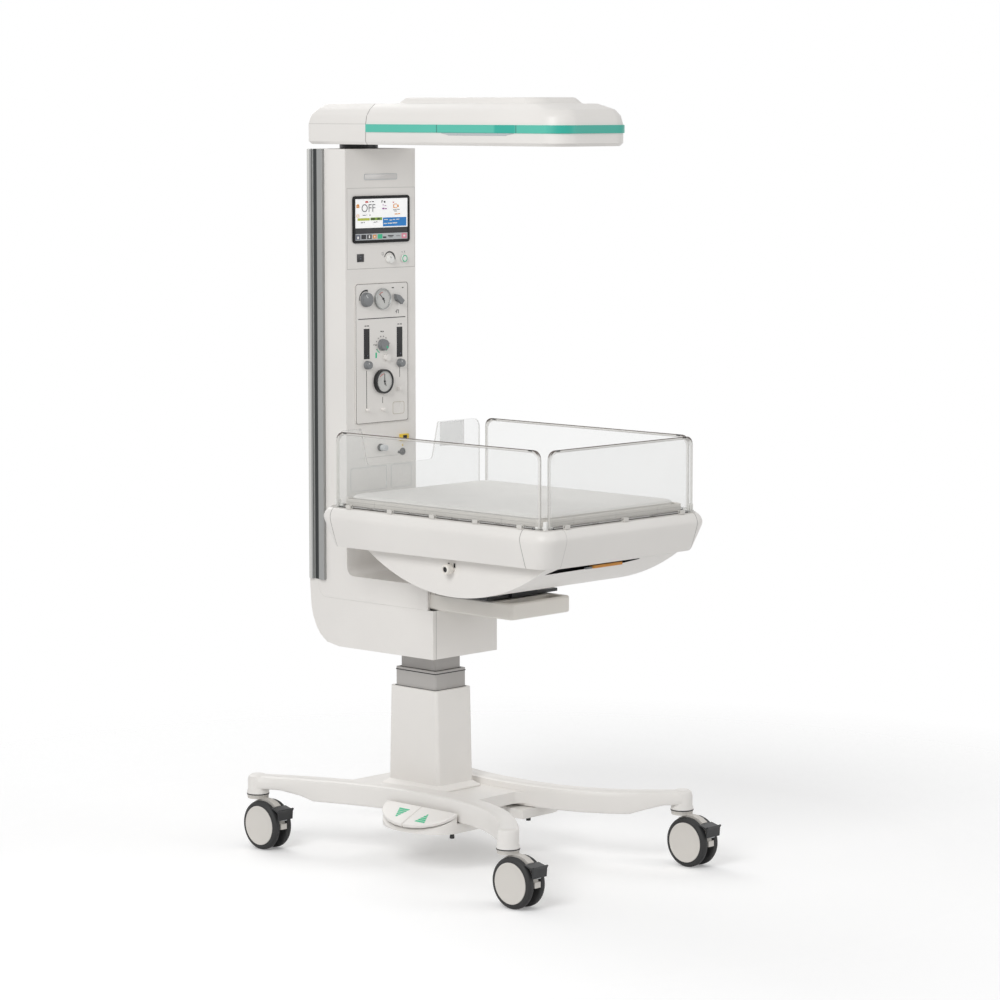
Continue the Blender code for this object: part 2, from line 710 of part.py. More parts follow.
# Base casting
def leg_section(y):
    # Centre line, half width and bottom height of a leg at one place along it.
    front_tip = (FRONT_TRACK / 2, FRONT_WHEEL_Y + SWIVEL_OFFSET)
    rear_tip = (REAR_TRACK / 2, REAR_WHEEL_Y + SWIVEL_OFFSET)
    if y < LEG_WAIST_Y:
        tip, bend, step_share = front_tip, FRONT_LEG_BEND_SHARE, FRONT_LEG_STEP_SHARE
    else:
        tip, bend, step_share = rear_tip, REAR_LEG_BEND_SHARE, REAR_LEG_STEP_SHARE
    share = (y - LEG_WAIST_Y) / (tip[1] - LEG_WAIST_Y)
    spread = tip[0] - LEG_WAIST_X
    x = LEG_WAIST_X + spread * share ** bend
    slope = bend * spread * share ** (bend - 1) / (tip[1] - LEG_WAIST_Y) if share > 0 else 0.0
    half = LEG_HALF_WIDTH + (LEG_TIP_HALF_WIDTH - LEG_HALF_WIDTH) * share
    climb = max(0.0, min(1.0, (share - step_share) / 0.15))
    bottom = LEG_BOTTOM + (LEG_TIP_BOTTOM - LEG_BOTTOM) * climb * climb * (3 - 2 * climb)
    return x, slope, half, bottom


def leg(sign):
    front_shares = (1.0, 0.93, 0.86, 0.79, 0.70, 0.58, 0.42, 0.22)
    rear_shares = (0.0, 0.18, 0.36, 0.50, 0.62, 0.70, 0.77, 0.88, 1.0)
    front = FRONT_WHEEL_Y + SWIVEL_OFFSET - LEG_WAIST_Y
    rear = REAR_WHEEL_Y + SWIVEL_OFFSET - LEG_WAIST_Y
    rings = []
    for y in [LEG_WAIST_Y + front * s for s in front_shares] + [LEG_WAIST_Y + rear * s for s in rear_shares]:
        x, slope, half, bottom = leg_section(y)
        across = Vector((1.0, -slope)).normalized()
        outline = rounded([(-half, bottom, LEG_BOTTOM_ROUND), (half, bottom, LEG_BOTTOM_ROUND),
                           (half, LEG_TOP, LEG_TOP_ROUND), (-half, LEG_TOP, LEG_TOP_ROUND)], 2)
        rings.append([(sign * (x + u * across.x), y + u * across.y, z) for u, z in outline])
    bm = bmesh.new()
    add_loft(bm, rings)
    return bm


def caster_sockets():
    bm = bmesh.new()
    for x, y in caster_places().values():
        flare = SOCKET_BOTTOM + SOCKET_FLARE_HEIGHT
        add_turned(bm, [(0.0, SOCKET_TOP), (SOCKET_NECK_RADIUS - SOCKET_CROWN, SOCKET_TOP),
                        (SOCKET_NECK_RADIUS - SOCKET_CROWN / 4, SOCKET_TOP - SOCKET_CROWN / 2),
                        (SOCKET_NECK_RADIUS, SOCKET_TOP - SOCKET_CROWN * 1.5), (SOCKET_NECK_RADIUS, flare),
                        (SOCKET_RADIUS, flare - SOCKET_CROWN / 2), (SOCKET_RADIUS, SOCKET_BOTTOM),
                        (0.0, SOCKET_BOTTOM)], 16, Matrix.Translation((x, y + SWIVEL_OFFSET, 0.0)))
    return bm


def cross_beam():
    # Plate between the legs whose corners sweep out into them.
    front_x = leg_section(BEAM_FRONT_Y)[0] - LEG_HALF_WIDTH - BEAM_FILLET * 0.6
    rear_x = leg_section(BEAM_REAR_Y)[0] - LEG_HALF_WIDTH - BEAM_FILLET * 0.6
    right = [(front_x, BEAM_FRONT_Y)]
    right += [(front_x + BEAM_FILLET * s, BEAM_FRONT_Y - BEAM_FILLET * s * s) for s in (0.3, 0.6, 0.85, 1.0)]
    right += [(LEG_WAIST_X, BEAM_FRONT_Y)]
    right += [(rear_x + BEAM_FILLET * s, BEAM_REAR_Y + BEAM_FILLET * s * s) for s in (1.0, 0.85, 0.6, 0.3)]
    right += [(rear_x, BEAM_REAR_Y)]
    outline = right + [(-x, y) for x, y in reversed(right)]
    bm = bmesh.new()
    add_prism(bm, outline, BEAM_BOTTOM, BEAM_TOP)
    return bm


def base_frame(finish):
    made = piece("base_frame", leg(-1), "base", finish)
    join(made, leg(1))
    join(made, cross_beam())
    join(made, caster_sockets())
    bores = bmesh.new()
    for x, y in caster_places().values():
        rod(bores, STEM_RADIUS + STEM_BORE_GAP, SOCKET_BOTTOM - OVERRUN, SOCKET_BOTTOM + STEM_LENGTH + GAP, 16,
            Matrix.Translation((x, y + SWIVEL_OFFSET, 0.0)))
    cut(made, bores)


# Foot switches
def pedal_outline(margin):
    # Half ellipse beside the leg, in (distance from the centre plane, distance along Y from the split).
    reach = SWITCH_REACH - margin
    length = SWITCH_HALF_LENGTH - margin
    return [(SWITCH_PEDAL_X + reach * cos(radians(a)), length * sin(radians(a))) for a in range(-90, 91, 15)]


def slope_place(angle):
    # Turns a flat shape about the pedals' hinge line so that its outer side drops.
    hinge = Vector((SWITCH_PEDAL_X, 0.0, PEDAL_HINGE_HEIGHT))
    return Matrix.Translation(hinge) @ Matrix.Rotation(angle, 4, "Y") @ Matrix.Translation(-hinge)


def mirrored(bm, sign):
    if sign < 0:
        bmesh.ops.scale(bm, vec=(-1.0, 1.0, 1.0), verts=bm.verts)
    return bm


def foot_pedal(side, sign, action, way, finish):
    # One half of the oval, on the foot end's side of the split (way -1) or on the column's side (way 1).
    inner = SWITCH_PEDAL_X + GAP
    split = PEDAL_SPLIT / 2
    half = [(max(x, inner), max(y * way, split) * way) for x, y in pedal_outline(0.0) if y * way > -MERGE]
    outline = [(x, y + SWITCH_CENTRE_Y) for x, y in half + [(inner, split * way)]]
    bm = bmesh.new()
    add_prism(bm, outline, PEDAL_HINGE_HEIGHT - PEDAL_THICK / 2, PEDAL_HINGE_HEIGHT + PEDAL_THICK / 2,
              slope_place(PEDAL_SLOPE))
    made = piece(f"foot_pedal_{side}_{action}", mirrored(bm, sign), f"pedal_{side}_{action}", finish)
    soften(made, PEDAL_EDGE, 2)


def foot_switch(side, sign, finish):
    # Box under the leg, cut down under the beam and the leg, and cut to a slope under the pedals.
    outline = [(x, y + SWITCH_CENTRE_Y) for x, y in pedal_outline(SWITCH_MARGIN)]
    length = SWITCH_HALF_LENGTH - SWITCH_MARGIN
    outline += [(SWITCH_INNER_X, SWITCH_CENTRE_Y + length), (SWITCH_INNER_X, SWITCH_CENTRE_Y - length)]
    bm = bmesh.new()
    add_prism(bm, outline, SWITCH_BOTTOM, PEDAL_HINGE_HEIGHT)
    made = piece(f"foot_switch_{side}", mirrored(bm, sign), "base", finish)
    low_y = SWITCH_CENTRE_Y - SWITCH_HALF_LENGTH - OVERRUN
    high_y = SWITCH_CENTRE_Y + SWITCH_HALF_LENGTH + OVERRUN
    leg_room = bmesh.new()
    add_box(leg_room, (SWITCH_INNER_X - OVERRUN, low_y, LEG_BOTTOM - GAP),
            (SWITCH_PEDAL_X - RUNNING_GAP, high_y, PEDAL_HINGE_HEIGHT + OVERRUN))
    cut(made, mirrored(leg_room, sign))
    pedal_room = bmesh.new()
    near = SWITCH_PEDAL_X - OVERRUN
    far = SWITCH_PEDAL_X + SWITCH_REACH + 2 * OVERRUN
    add_prism(pedal_room, [(near, low_y), (far, low_y), (far, high_y), (near, high_y)],
              PEDAL_HINGE_HEIGHT - PEDAL_THICK / 2 - GAP, PEDAL_HINGE_HEIGHT + 3 * OVERRUN,
              slope_place(PEDAL_SLOPE + PEDAL_TRAVEL + PEDAL_SPARE))
    cut(made, mirrored(pedal_room, sign))


def foot_switches(finish):
    for side, sign in SIDES:
        foot_switch(side, sign, finish)
        for action, way in (("raise", -1), ("lower", 1)):
            body(f"pedal_{side}_{action}", (sign * SWITCH_PEDAL_X, SWITCH_CENTRE_Y, PEDAL_HINGE_HEIGHT), "base")
            foot_pedal(side, sign, action, way, finish)


# Lift column
def tube_ring(half_x, half_y, z, radius):
    return [(x, y, z) for x, y in rounded_box_outline(-half_x, half_x, -half_y, half_y, radius, 3)]


def lift_cover(finish):
    flange_low = BEAM_TOP + GAP
    flange_x = COVER_HALF_X + COVER_FLANGE
    flange_y = COVER_HALF_Y + COVER_FLANGE
    bm = bmesh.new()
    add_loft(bm, [tube_ring(flange_x, flange_y, flange_low, COVER_ROUND),
                  tube_ring(flange_x, flange_y, flange_low + COVER_FLANGE_EDGE, COVER_ROUND),
                  tube_ring(COVER_HALF_X, COVER_HALF_Y, COVER_BOTTOM, COVER_ROUND),
                  tube_ring(COVER_HALF_X, COVER_TOP_HALF_Y, COVER_TOP, COVER_ROUND)])
    made = piece("lift_cover", bm, "base", finish)
    inside_x = COVER_HALF_X - COVER_WALL
    hollow = bmesh.new()
    add_loft(hollow, [tube_ring(inside_x, COVER_HALF_Y - COVER_WALL, flange_low - OVERRUN, COVER_ROUND / 2),
                      tube_ring(inside_x, COVER_HALF_Y - COVER_WALL, COVER_BOTTOM, COVER_ROUND / 2),
                      tube_ring(inside_x, COVER_TOP_HALF_Y - COVER_WALL, COVER_TOP - LIFT_LIP, COVER_ROUND / 2)])
    cut(made, hollow)
    cut(made, lip_opening(MIDDLE_HALF_X, MIDDLE_HALF_Y, COVER_TOP))


def lip_opening(half_x, half_y, top):
    # Opening in the inward lip at a tube's top, which guides the next tube.
    bm = bmesh.new()
    add_loft(bm, [tube_ring(half_x + LIFT_SLIDE_GAP, half_y + LIFT_SLIDE_GAP, z, TUBE_ROUND)
                  for z in (top - LIFT_LIP - OVERRUN, top + OVERRUN)])
    return bm


def lift_tube(name, half_x, half_y, bottom, top, hollow_top, body_name, finish):
    bm = bmesh.new()
    add_loft(bm, [tube_ring(half_x, half_y, bottom, TUBE_ROUND), tube_ring(half_x, half_y, top, TUBE_ROUND)])
    made = piece(name, bm, body_name, finish)
    hollow = bmesh.new()
    inside = (half_x - TUBE_WALL, half_y - TUBE_WALL)
    add_loft(hollow, [tube_ring(*inside, bottom - OVERRUN, TUBE_ROUND / 2),
                      tube_ring(*inside, hollow_top, TUBE_ROUND / 2)])
    cut(made, hollow)
    return made


def lift_column(grey):
    floor = BEAM_TOP + LIFT_FLOOR_GAP
    body("lift_middle", (0.0, 0.0, MIDDLE_TOP), "base")
    middle = lift_tube("lift_middle_tube", MIDDLE_HALF_X, MIDDLE_HALF_Y, floor + LIFT_DOWN / 2, MIDDLE_TOP,
                       MIDDLE_TOP - LIFT_LIP, "lift_middle", grey)
    cut(middle, lip_opening(INNER_HALF_X, INNER_HALF_Y, MIDDLE_TOP))
    body("upper", (0.0, 0.0, BODY_BOTTOM), "base")
    top = BODY_BOTTOM + COVER_WALL + CHASSIS_LIFT - GAP
    lift_tube("lift_inner_tube", INNER_HALF_X, INNER_HALF_Y, floor + LIFT_DOWN, top, top + OVERRUN, "upper", grey)


def lift_actuator(finish):
    low = BEAM_TOP + GAP
    bm = bmesh.new()
    add_turned(bm, [(0.0, SPINDLE_CASE_TOP), (SPINDLE_CASE_RADIUS, SPINDLE_CASE_TOP),
                    (SPINDLE_CASE_RADIUS, MOTOR_TOP), (MOTOR_RADIUS, MOTOR_TOP), (MOTOR_RADIUS, low),
                    (0.0, low)], 20)
    piece("lift_actuator", bm, "base", finish)


# Column body
def body_half(inset=0.0):
    spread = (BODY_REAR_HALF - BODY_FRONT_HALF) / (BODY_REAR_Y - BODY_FRONT_Y)
    return lambda y: BODY_FRONT_HALF + spread * (y - BODY_FRONT_Y) - inset


def rear_corner(inset):
    # Underside corner at the rear, a superellipse from the flat bottom up to the rear wall.
    wide = BODY_REAR_CORNER_Y - inset
    tall = BODY_REAR_CORNER_Z - inset
    centre = (BODY_REAR_Y - BODY_REAR_CORNER_Y, BODY_BOTTOM + BODY_REAR_CORNER_Z)
    power = 2 / BODY_CORNER_POWER
    turns = [radians(a) for a in (90, 70, 55, 42, 30, 18, 0)]
    return [(centre[0] + wide * max(0.0, cos(t)) ** power, centre[1] - tall * sin(t) ** power) for t in turns]


def seam_corner(shift):
    # Rounded corner where the seam turns up behind the casing.
    centre = (CASING_REAR_Y - CASING_SEAM_ROUND, SEAM_Z + CASING_SEAM_ROUND)
    return arc(centre, CASING_SEAM_ROUND + shift, radians(-90), 0.0, 4)


def lower_housing(finish):
    outer = [(BODY_FRONT_Y, SEAM_Z - GAP), (BODY_FRONT_Y, BODY_BOTTOM)] + rear_corner(0.0)
    outer += [(BODY_REAR_Y, REAR_COVER_BOTTOM - GAP), (CASING_REAR_Y + GAP, REAR_COVER_BOTTOM - GAP)]
    outer += list(reversed(seam_corner(GAP)))
    bm = bmesh.new()
    add_across(bm, outer, body_half())
    made = piece("lower_housing", bm, "upper", finish)
    inner = [(BODY_FRONT_Y + COVER_WALL, SEAM_Z + OVERRUN), (BODY_FRONT_Y + COVER_WALL, BODY_BOTTOM + COVER_WALL)]
    inner += rear_corner(COVER_WALL)
    inner += [(BODY_REAR_Y - COVER_WALL, REAR_COVER_BOTTOM + OVERRUN)]
    hollow = bmesh.new()
    add_across(hollow, inner, body_half(COVER_WALL))
    cut(made, hollow)
    hole = bmesh.new()
    add_loft(hole, [tube_ring(INNER_HALF_X + RUNNING_GAP, INNER_HALF_Y + RUNNING_GAP, z, TUBE_ROUND)
                    for z in (BODY_BOTTOM - OVERRUN, BODY_BOTTOM + COVER_WALL + OVERRUN)])
    cut(made, hole)


def casing_outline(inset):
    over = OVERRUN if inset else 0.0
    rear = CASING_REAR_Y + over
    fillet = SHELF_FILLET + inset
    edge = max(SHELF_EDGE - inset, COVER_WALL)
    corners = [(CASING_FRONT_Y + inset, SEAM_Z - over, 0), (CASING_FRONT_Y + inset, SHELF_Z - inset, edge),
               (COLUMN_FRONT_Y + inset, SHELF_Z - inset, fillet),
               (COLUMN_FRONT_Y + inset, COLUMN_TOP - inset, 0), (rear, COLUMN_TOP - inset, 0)]
    outline = rounded(corners, 4)
    if inset:
        return outline + [(rear, SEAM_Z - over)]
    return outline + list(reversed(seam_corner(0.0)))


def column_casing(finish):
    bm = bmesh.new()
    add_across(bm, casing_outline(0.0), body_half())
    made = piece("column_casing", bm, "upper", finish)
    hollow = bmesh.new()
    add_across(hollow, casing_outline(COVER_WALL), body_half(COVER_WALL))
    cut(made, hollow)
    holes = bmesh.new()
    add_box(holes, (-ARM_HALF - GAP, CASING_FRONT_Y - OVERRUN, ARM_BOTTOM - OVERRUN),
            (ARM_HALF + GAP, CASING_FRONT_Y + COVER_WALL + OVERRUN, ARM_TOP + GAP))
    rod(holes, PIVOT_SPINDLE_RADIUS + SHAFT_GAP, COLUMN_TOP - OVERRUN, COLUMN_TOP + OVERRUN, 20,
        Matrix.Translation((0.0, PIVOT_Y, 0.0)))
    rod(holes, POWER_STEM_RADIUS + STEM_BORE_GAP, -OVERRUN / 2, OVERRUN / 2, 16,
        front_place(POWER_X, COLUMN_FRONT_Y, CONTROL_Z))
    cut(made, holes)


def rear_cover(finish):
    low_y = CASING_REAR_Y + GAP
    bm = bmesh.new()
    add_across(bm, [(low_y, REAR_COVER_BOTTOM), (BODY_REAR_Y, REAR_COVER_BOTTOM), (BODY_REAR_Y, COLUMN_TOP),
                    (low_y, COLUMN_TOP)], body_half())
    made = piece("rear_cover", bm, "upper", finish)
    hump = bmesh.new()
    ramp = REAR_BOX_DEPTH
    front = BODY_REAR_Y - COVER_WALL / 2
    rear = BODY_REAR_Y + REAR_BOX_DEPTH
    low = (REAR_BOX_HALF, REAR_BOX_BOTTOM, REAR_BOX_TOP)
    high = (REAR_BOX_HALF - ramp / 2, REAR_BOX_BOTTOM + ramp, REAR_BOX_TOP - ramp)
    add_loft(hump, [[(-half, y, bottom), (half, y, bottom), (half, y, top), (-half, y, top)]
                    for y, (half, bottom, top) in ((front, low), (rear, high))])
    join(made, hump)
    hollow = bmesh.new()
    add_across(hollow, [(low_y - OVERRUN, REAR_COVER_BOTTOM + COVER_WALL),
                        (BODY_REAR_Y - COVER_WALL, REAR_COVER_BOTTOM + COVER_WALL),
                        (BODY_REAR_Y - COVER_WALL, COLUMN_TOP - COVER_WALL),
                        (low_y - OVERRUN, COLUMN_TOP - COVER_WALL)], body_half(COVER_WALL))
    cut(made, hollow)
    hole = bmesh.new()
    rod(hole, PIVOT_SPINDLE_RADIUS + SHAFT_GAP, COLUMN_TOP - OVERRUN, COLUMN_TOP + OVERRUN, 20,
        Matrix.Translation((0.0, PIVOT_Y, 0.0)))
    cut(made, hole)


def rear_grip(finish):
    low_y = BODY_REAR_Y + GAP
    centre_y = BODY_REAR_Y + GRIP_REACH - GRIP_RADIUS
    outline = [(low_y, GRIP_Z - GRIP_RADIUS)]
    outline += arc((centre_y, GRIP_Z), GRIP_RADIUS, radians(-90), radians(90), 6)
    outline += [(low_y, GRIP_Z + GRIP_RADIUS)]
    bm = bmesh.new()
    add_across(bm, outline, flat(GRIP_HALF_LENGTH))
    piece("rear_grip", bm, "upper", finish)


def accessory_rail(side, sign, finish):
    half = body_half(-GAP)
    floor = RAIL_FACE_X - RAIL_CHANNEL_DEPTH
    outline = [(half(RAIL_FRONT_Y), RAIL_FRONT_Y), (RAIL_FACE_X, RAIL_FRONT_Y),
               (RAIL_FACE_X, RAIL_CHANNEL_FRONT_Y), (floor, RAIL_CHANNEL_FRONT_Y),
               (floor, RAIL_CHANNEL_REAR_Y), (RAIL_FACE_X, RAIL_CHANNEL_REAR_Y),
               (RAIL_FACE_X, RAIL_REAR_Y), (half(RAIL_REAR_Y), RAIL_REAR_Y)]
    bm = bmesh.new()
    add_prism(bm, [(sign * x, y) for x, y in outline], RAIL_BOTTOM, COLUMN_TOP)
    piece(f"accessory_rail_{side}", bm, "upper", finish)


def chassis_frame(finish):
    low = BODY_BOTTOM + COVER_WALL + CHASSIS_LIFT
    post_front = COLUMN_FRONT_Y + 4 * COVER_WALL
    post_rear = post_front + POST_DEPTH
    ceiling = COLUMN_TOP - COVER_WALL - GAP
    bm = bmesh.new()
    add_box(bm, (-CHASSIS_HALF, CHASSIS_FRONT_Y, low), (CHASSIS_HALF, post_rear, low + PLATE_THICK))
    made = piece("chassis_frame", bm, "upper", finish)
    parts = bmesh.new()
    for sign in (-1, 1):
        sides = sorted((sign * CHASSIS_HALF, sign * (CHASSIS_HALF - POST_WIDTH)))
        add_box(parts, (sides[0], post_front, low + PLATE_THICK / 2),
                (sides[1], post_rear, ceiling - PLATE_THICK / 2))
    add_box(parts, (-ARM_HALF * 0.8, CHASSIS_FRONT_Y + COVER_WALL, low + PLATE_THICK / 2),
            (ARM_HALF * 0.8, ARM_REAR_Y, ARM_BOTTOM - GAP))
    join(made, parts)
    top = bmesh.new()
    add_box(top, (-CHASSIS_HALF, post_front, ceiling - PLATE_THICK),
            (CHASSIS_HALF, BODY_REAR_Y - COVER_WALL - RUNNING_GAP, ceiling))
    join(made, top)
    hole = bmesh.new()
    rod(hole, PIVOT_SPINDLE_RADIUS + SHAFT_GAP, ceiling - OVERRUN, ceiling + OVERRUN, 20,
        Matrix.Translation((0.0, PIVOT_Y, 0.0)))
    cut(made, hole)


# Bed arm and cradle
def bed_arm(finish):
    bm = bmesh.new()
    outline = rounded([(-ARM_HALF, ARM_FRONT_Y, ARM_ROUND), (ARM_HALF, ARM_FRONT_Y, ARM_ROUND),
                       (ARM_HALF, ARM_REAR_Y, 0), (-ARM_HALF, ARM_REAR_Y, 0)], 4)
    add_prism(bm, outline, ARM_BOTTOM, ARM_TOP)
    made = piece("bed_arm", bm, "upper", finish)
    soften(made, ARM_EDGE, 2, radians(60))
    pocket = bmesh.new()
    add_box(pocket, (-ARM_POCKET_HALF, ARM_POCKET_FRONT_Y, ARM_TOP - ARM_POCKET_DEPTH),
            (ARM_POCKET_HALF, ARM_POCKET_REAR_Y, ARM_TOP + OVERRUN))
    cut(made, pocket)


def cradle_plate(finish):
    bm = bmesh.new()
    add_box(bm, (-CRADLE_HALF, CRADLE_FRONT_Y, CRADLE_BOTTOM), (CRADLE_HALF, CRADLE_REAR_Y, CRADLE_TOP))
    made = piece("cradle_plate", bm, "upper", finish)
    foot = bmesh.new()
    inset = ARM_EDGE * 3
    add_box(foot, (-CRADLE_FOOT_HALF, CRADLE_FRONT_Y + inset, ARM_TOP + GAP),
            (CRADLE_FOOT_HALF, CRADLE_REAR_Y - inset, CRADLE_BOTTOM + GAP))
    join(made, foot)
    post = bmesh.new()
    add_box(post, (-TILT_POST_HALF_X, TILT_Y - TILT_POST_HALF_Y, CRADLE_BOTTOM + GAP),
            (TILT_POST_HALF_X, TILT_Y + TILT_POST_HALF_Y, TILT_Z + TILT_POST_HALF_Y))
    join(made, post)
    pin = bmesh.new()
    rod(pin, TILT_PIN_RADIUS, -TILT_PIN_HALF, TILT_PIN_HALF, 20,
        Matrix.Translation((0.0, TILT_Y, TILT_Z)) @ TO_SIDE)
    join(made, pin)


# Belly of the bed
def belly_outline(inset, top):
    # Circular underside, closed along the top.
    radius = BELLY_ARC_RADIUS - inset
    centre_z = BELLY_BOTTOM + BELLY_ARC_RADIUS
    sweep = acos((centre_z - BELLY_TOP) / radius)
    under = arc((BELLY_ARC_Y, centre_z), radius, radians(-90) - sweep, radians(-90) + sweep, 14)
    return [(under[0][0], top)] + under[1:-1] + [(under[-1][0], top)]


def belly_form(wall, top):
    # The underside's arc draws in towards both sides, so that the lower edges are round.
    turns = [radians(a) for a in (90, 45, 0)]
    side = BELLY_HALF - wall - BELLY_ROUND
    steps = [(side + BELLY_ROUND * sin(t), wall + BELLY_ROUND * (1 - cos(t))) for t in turns]
    rings = [[(-x, y, z) for y, z in belly_outline(inset, top)] for x, inset in steps]
    rings += [[(x, y, z) for y, z in belly_outline(inset, top)] for x, inset in reversed(steps)]
    bm = bmesh.new()
    add_loft(bm, rings)
    return bm


def belly_tub(finish):
    made = piece("belly_tub", belly_form(0.0, BELLY_TOP), "bed", finish)
    cut(made, belly_form(BELLY_WALL, BELLY_TOP + OVERRUN))
    openings = bmesh.new()
    add_box(openings, (-BELLY_WELL_HALF_X, TILT_Y - BELLY_WELL_HALF_Y, BELLY_BOTTOM - OVERRUN),
            (BELLY_WELL_HALF_X, TILT_Y + BELLY_WELL_HALF_Y, BELLY_BOTTOM + OVERRUN))
    slot_rear = LEVER_FRONT_Y + SLOT_DEPTH
    add_box(openings, (-SLOT_HALF, LEVER_FRONT_Y - 2 * OVERRUN, SLOT_Z - SLOT_HALF_HEIGHT),
            (SLOT_HALF, slot_rear, SLOT_Z + SLOT_HALF_HEIGHT))
    rod(openings, SIDE_KNOB_SHAFT + SHAFT_GAP, -BELLY_HALF - OVERRUN, -BELLY_HALF + OVERRUN, 16,
        Matrix.Translation((0.0, SIDE_KNOB_Y, SIDE_KNOB_Z)) @ TO_SIDE)
    cut(made, openings)
    lugs = bmesh.new()
    for sign in (-1, 1):
        inner = TILT_POST_HALF_X + RUNNING_GAP
        sides = sorted((sign * inner, sign * (BELLY_WELL_HALF_X + TILT_LUG_THICK)))
        add_box(lugs, (sides[0], TILT_Y - TILT_LUG_HALF_Y, TILT_Z - TILT_LUG_HALF_Y),
                (sides[1], TILT_Y + TILT_LUG_HALF_Y, TILT_Z + TILT_LUG_HALF_Y))
    join(made, lugs)
    ribs = bmesh.new()
    for sign in (-1, 1):
        sides = sorted((sign * (BELLY_WELL_HALF_X + GAP), sign * (BELLY_WELL_HALF_X + TILT_LUG_THICK - GAP)))
        add_box(ribs, (sides[0], TILT_Y - BELLY_WELL_HALF_Y, BELLY_BOTTOM + BELLY_WALL / 2),
                (sides[1], TILT_Y + BELLY_WELL_HALF_Y, TILT_Z - TILT_LUG_HALF_Y / 2))
    join(made, ribs)
    boss = bmesh.new()
    lever_low = SLOT_Z - LEVER_THICK / 2
    boss_x = LEVER_HIGH_X - LEVER_EYE_RADIUS
    add_turned(boss, [(0.0, lever_low + LEVER_THICK), (LEVER_PIN_RADIUS, lever_low + LEVER_THICK),
                      (LEVER_PIN_RADIUS, lever_low - GAP), (LEVER_EYE_RADIUS, lever_low - GAP),
                      (LEVER_EYE_RADIUS, boss_floor()), (0.0, boss_floor())], 16,
               Matrix.Translation((boss_x, LEVER_EYE_Y, 0.0)))
    join(made, boss)
    bores = bmesh.new()
    rod(bores, TILT_PIN_RADIUS + SHAFT_GAP, -TILT_PIN_HALF - OVERRUN, TILT_PIN_HALF + OVERRUN, 20,
        Matrix.Translation((0.0, TILT_Y, TILT_Z)) @ TO_SIDE)
    cut(made, bores)


def boss_floor():
    # Height of the belly wall's middle under the lever's eye.
    out = BELLY_ARC_Y - LEVER_EYE_Y
    outer = BELLY_BOTTOM + BELLY_ARC_RADIUS - sqrt(BELLY_ARC_RADIUS ** 2 - out ** 2)
    return outer + BELLY_WALL / 2


def tilt_lever(finish):
    low = SLOT_Z - LEVER_THICK / 2
    eye_x = LEVER_HIGH_X - LEVER_EYE_RADIUS
    rear = LEVER_FRONT_Y + LEVER_DEPTH
    outline = rounded([(LEVER_LOW_X, LEVER_FRONT_Y, LEVER_DEPTH / 3), (LEVER_HIGH_X, LEVER_FRONT_Y, LEVER_DEPTH / 4),
                       (LEVER_HIGH_X, LEVER_EYE_Y + LEVER_EYE_RADIUS, LEVER_DEPTH / 4),
                       (eye_x - LEVER_EYE_RADIUS, LEVER_EYE_Y + LEVER_EYE_RADIUS, LEVER_DEPTH / 4),
                       (eye_x - 2 * LEVER_EYE_RADIUS, rear, 0), (LEVER_LOW_X, rear, LEVER_DEPTH / 3)], 3)
    bm = bmesh.new()
    add_prism(bm, outline, low, low + LEVER_THICK)
    made = piece("tilt_lever", bm, "tilt_lever_pivot", finish)
    bore = bmesh.new()
    rod(bore, LEVER_PIN_RADIUS + SHAFT_GAP, low - OVERRUN, low + LEVER_THICK + OVERRUN, 16,
        Matrix.Translation((eye_x, LEVER_EYE_Y, 0.0)))
    cut(made, bore)


def side_lock_knob(finish):
    # Turned about X: outside is negative, the collar inside the wall keeps the shaft in.
    outside = SIDE_KNOB_LENGTH
    inside = -BELLY_WALL - GAP
    profile = [(0.0, outside - SIDE_KNOB_DIMPLE), (SIDE_KNOB_DIMPLE, outside - SIDE_KNOB_DIMPLE),
               (SIDE_KNOB_DIMPLE, outside), (SIDE_KNOB_TIP_RADIUS, outside),
               (SIDE_KNOB_TIP_RADIUS + SIDE_KNOB_DIMPLE / 2, outside * SIDE_KNOB_NECK_SHARE),
               (SIDE_KNOB_RADIUS, outside * SIDE_KNOB_WAIST_SHARE), (SIDE_KNOB_RADIUS, GAP), (SIDE_KNOB_SHAFT, GAP),
               (SIDE_KNOB_SHAFT, inside), (SIDE_KNOB_COLLAR, inside),
               (SIDE_KNOB_COLLAR, inside - SIDE_KNOB_COLLAR_THICK), (0.0, inside - SIDE_KNOB_COLLAR_THICK)]
    bm = bmesh.new()
    add_turned(bm, profile, 20, Matrix.Translation((-BELLY_HALF, SIDE_KNOB_Y, SIDE_KNOB_Z)) @ TO_SIDE.inverted())
    piece("side_lock_knob", bm, "side_lock", finish)


# Skirt, tray and mattress
def skirt_ring(z, half, inset):
    draw = SKIRT_WAIST_HALF - half + inset
    radius = max(SKIRT_ROUND - inset, SKIRT_WALL)
    outline = rounded_box_outline(-SKIRT_WAIST_HALF + draw, SKIRT_WAIST_HALF - draw, SKIRT_FRONT_Y + draw,
                                  SKIRT_REAR_Y - draw, radius, 5)
    return [(x, y, z) for x, y in outline]


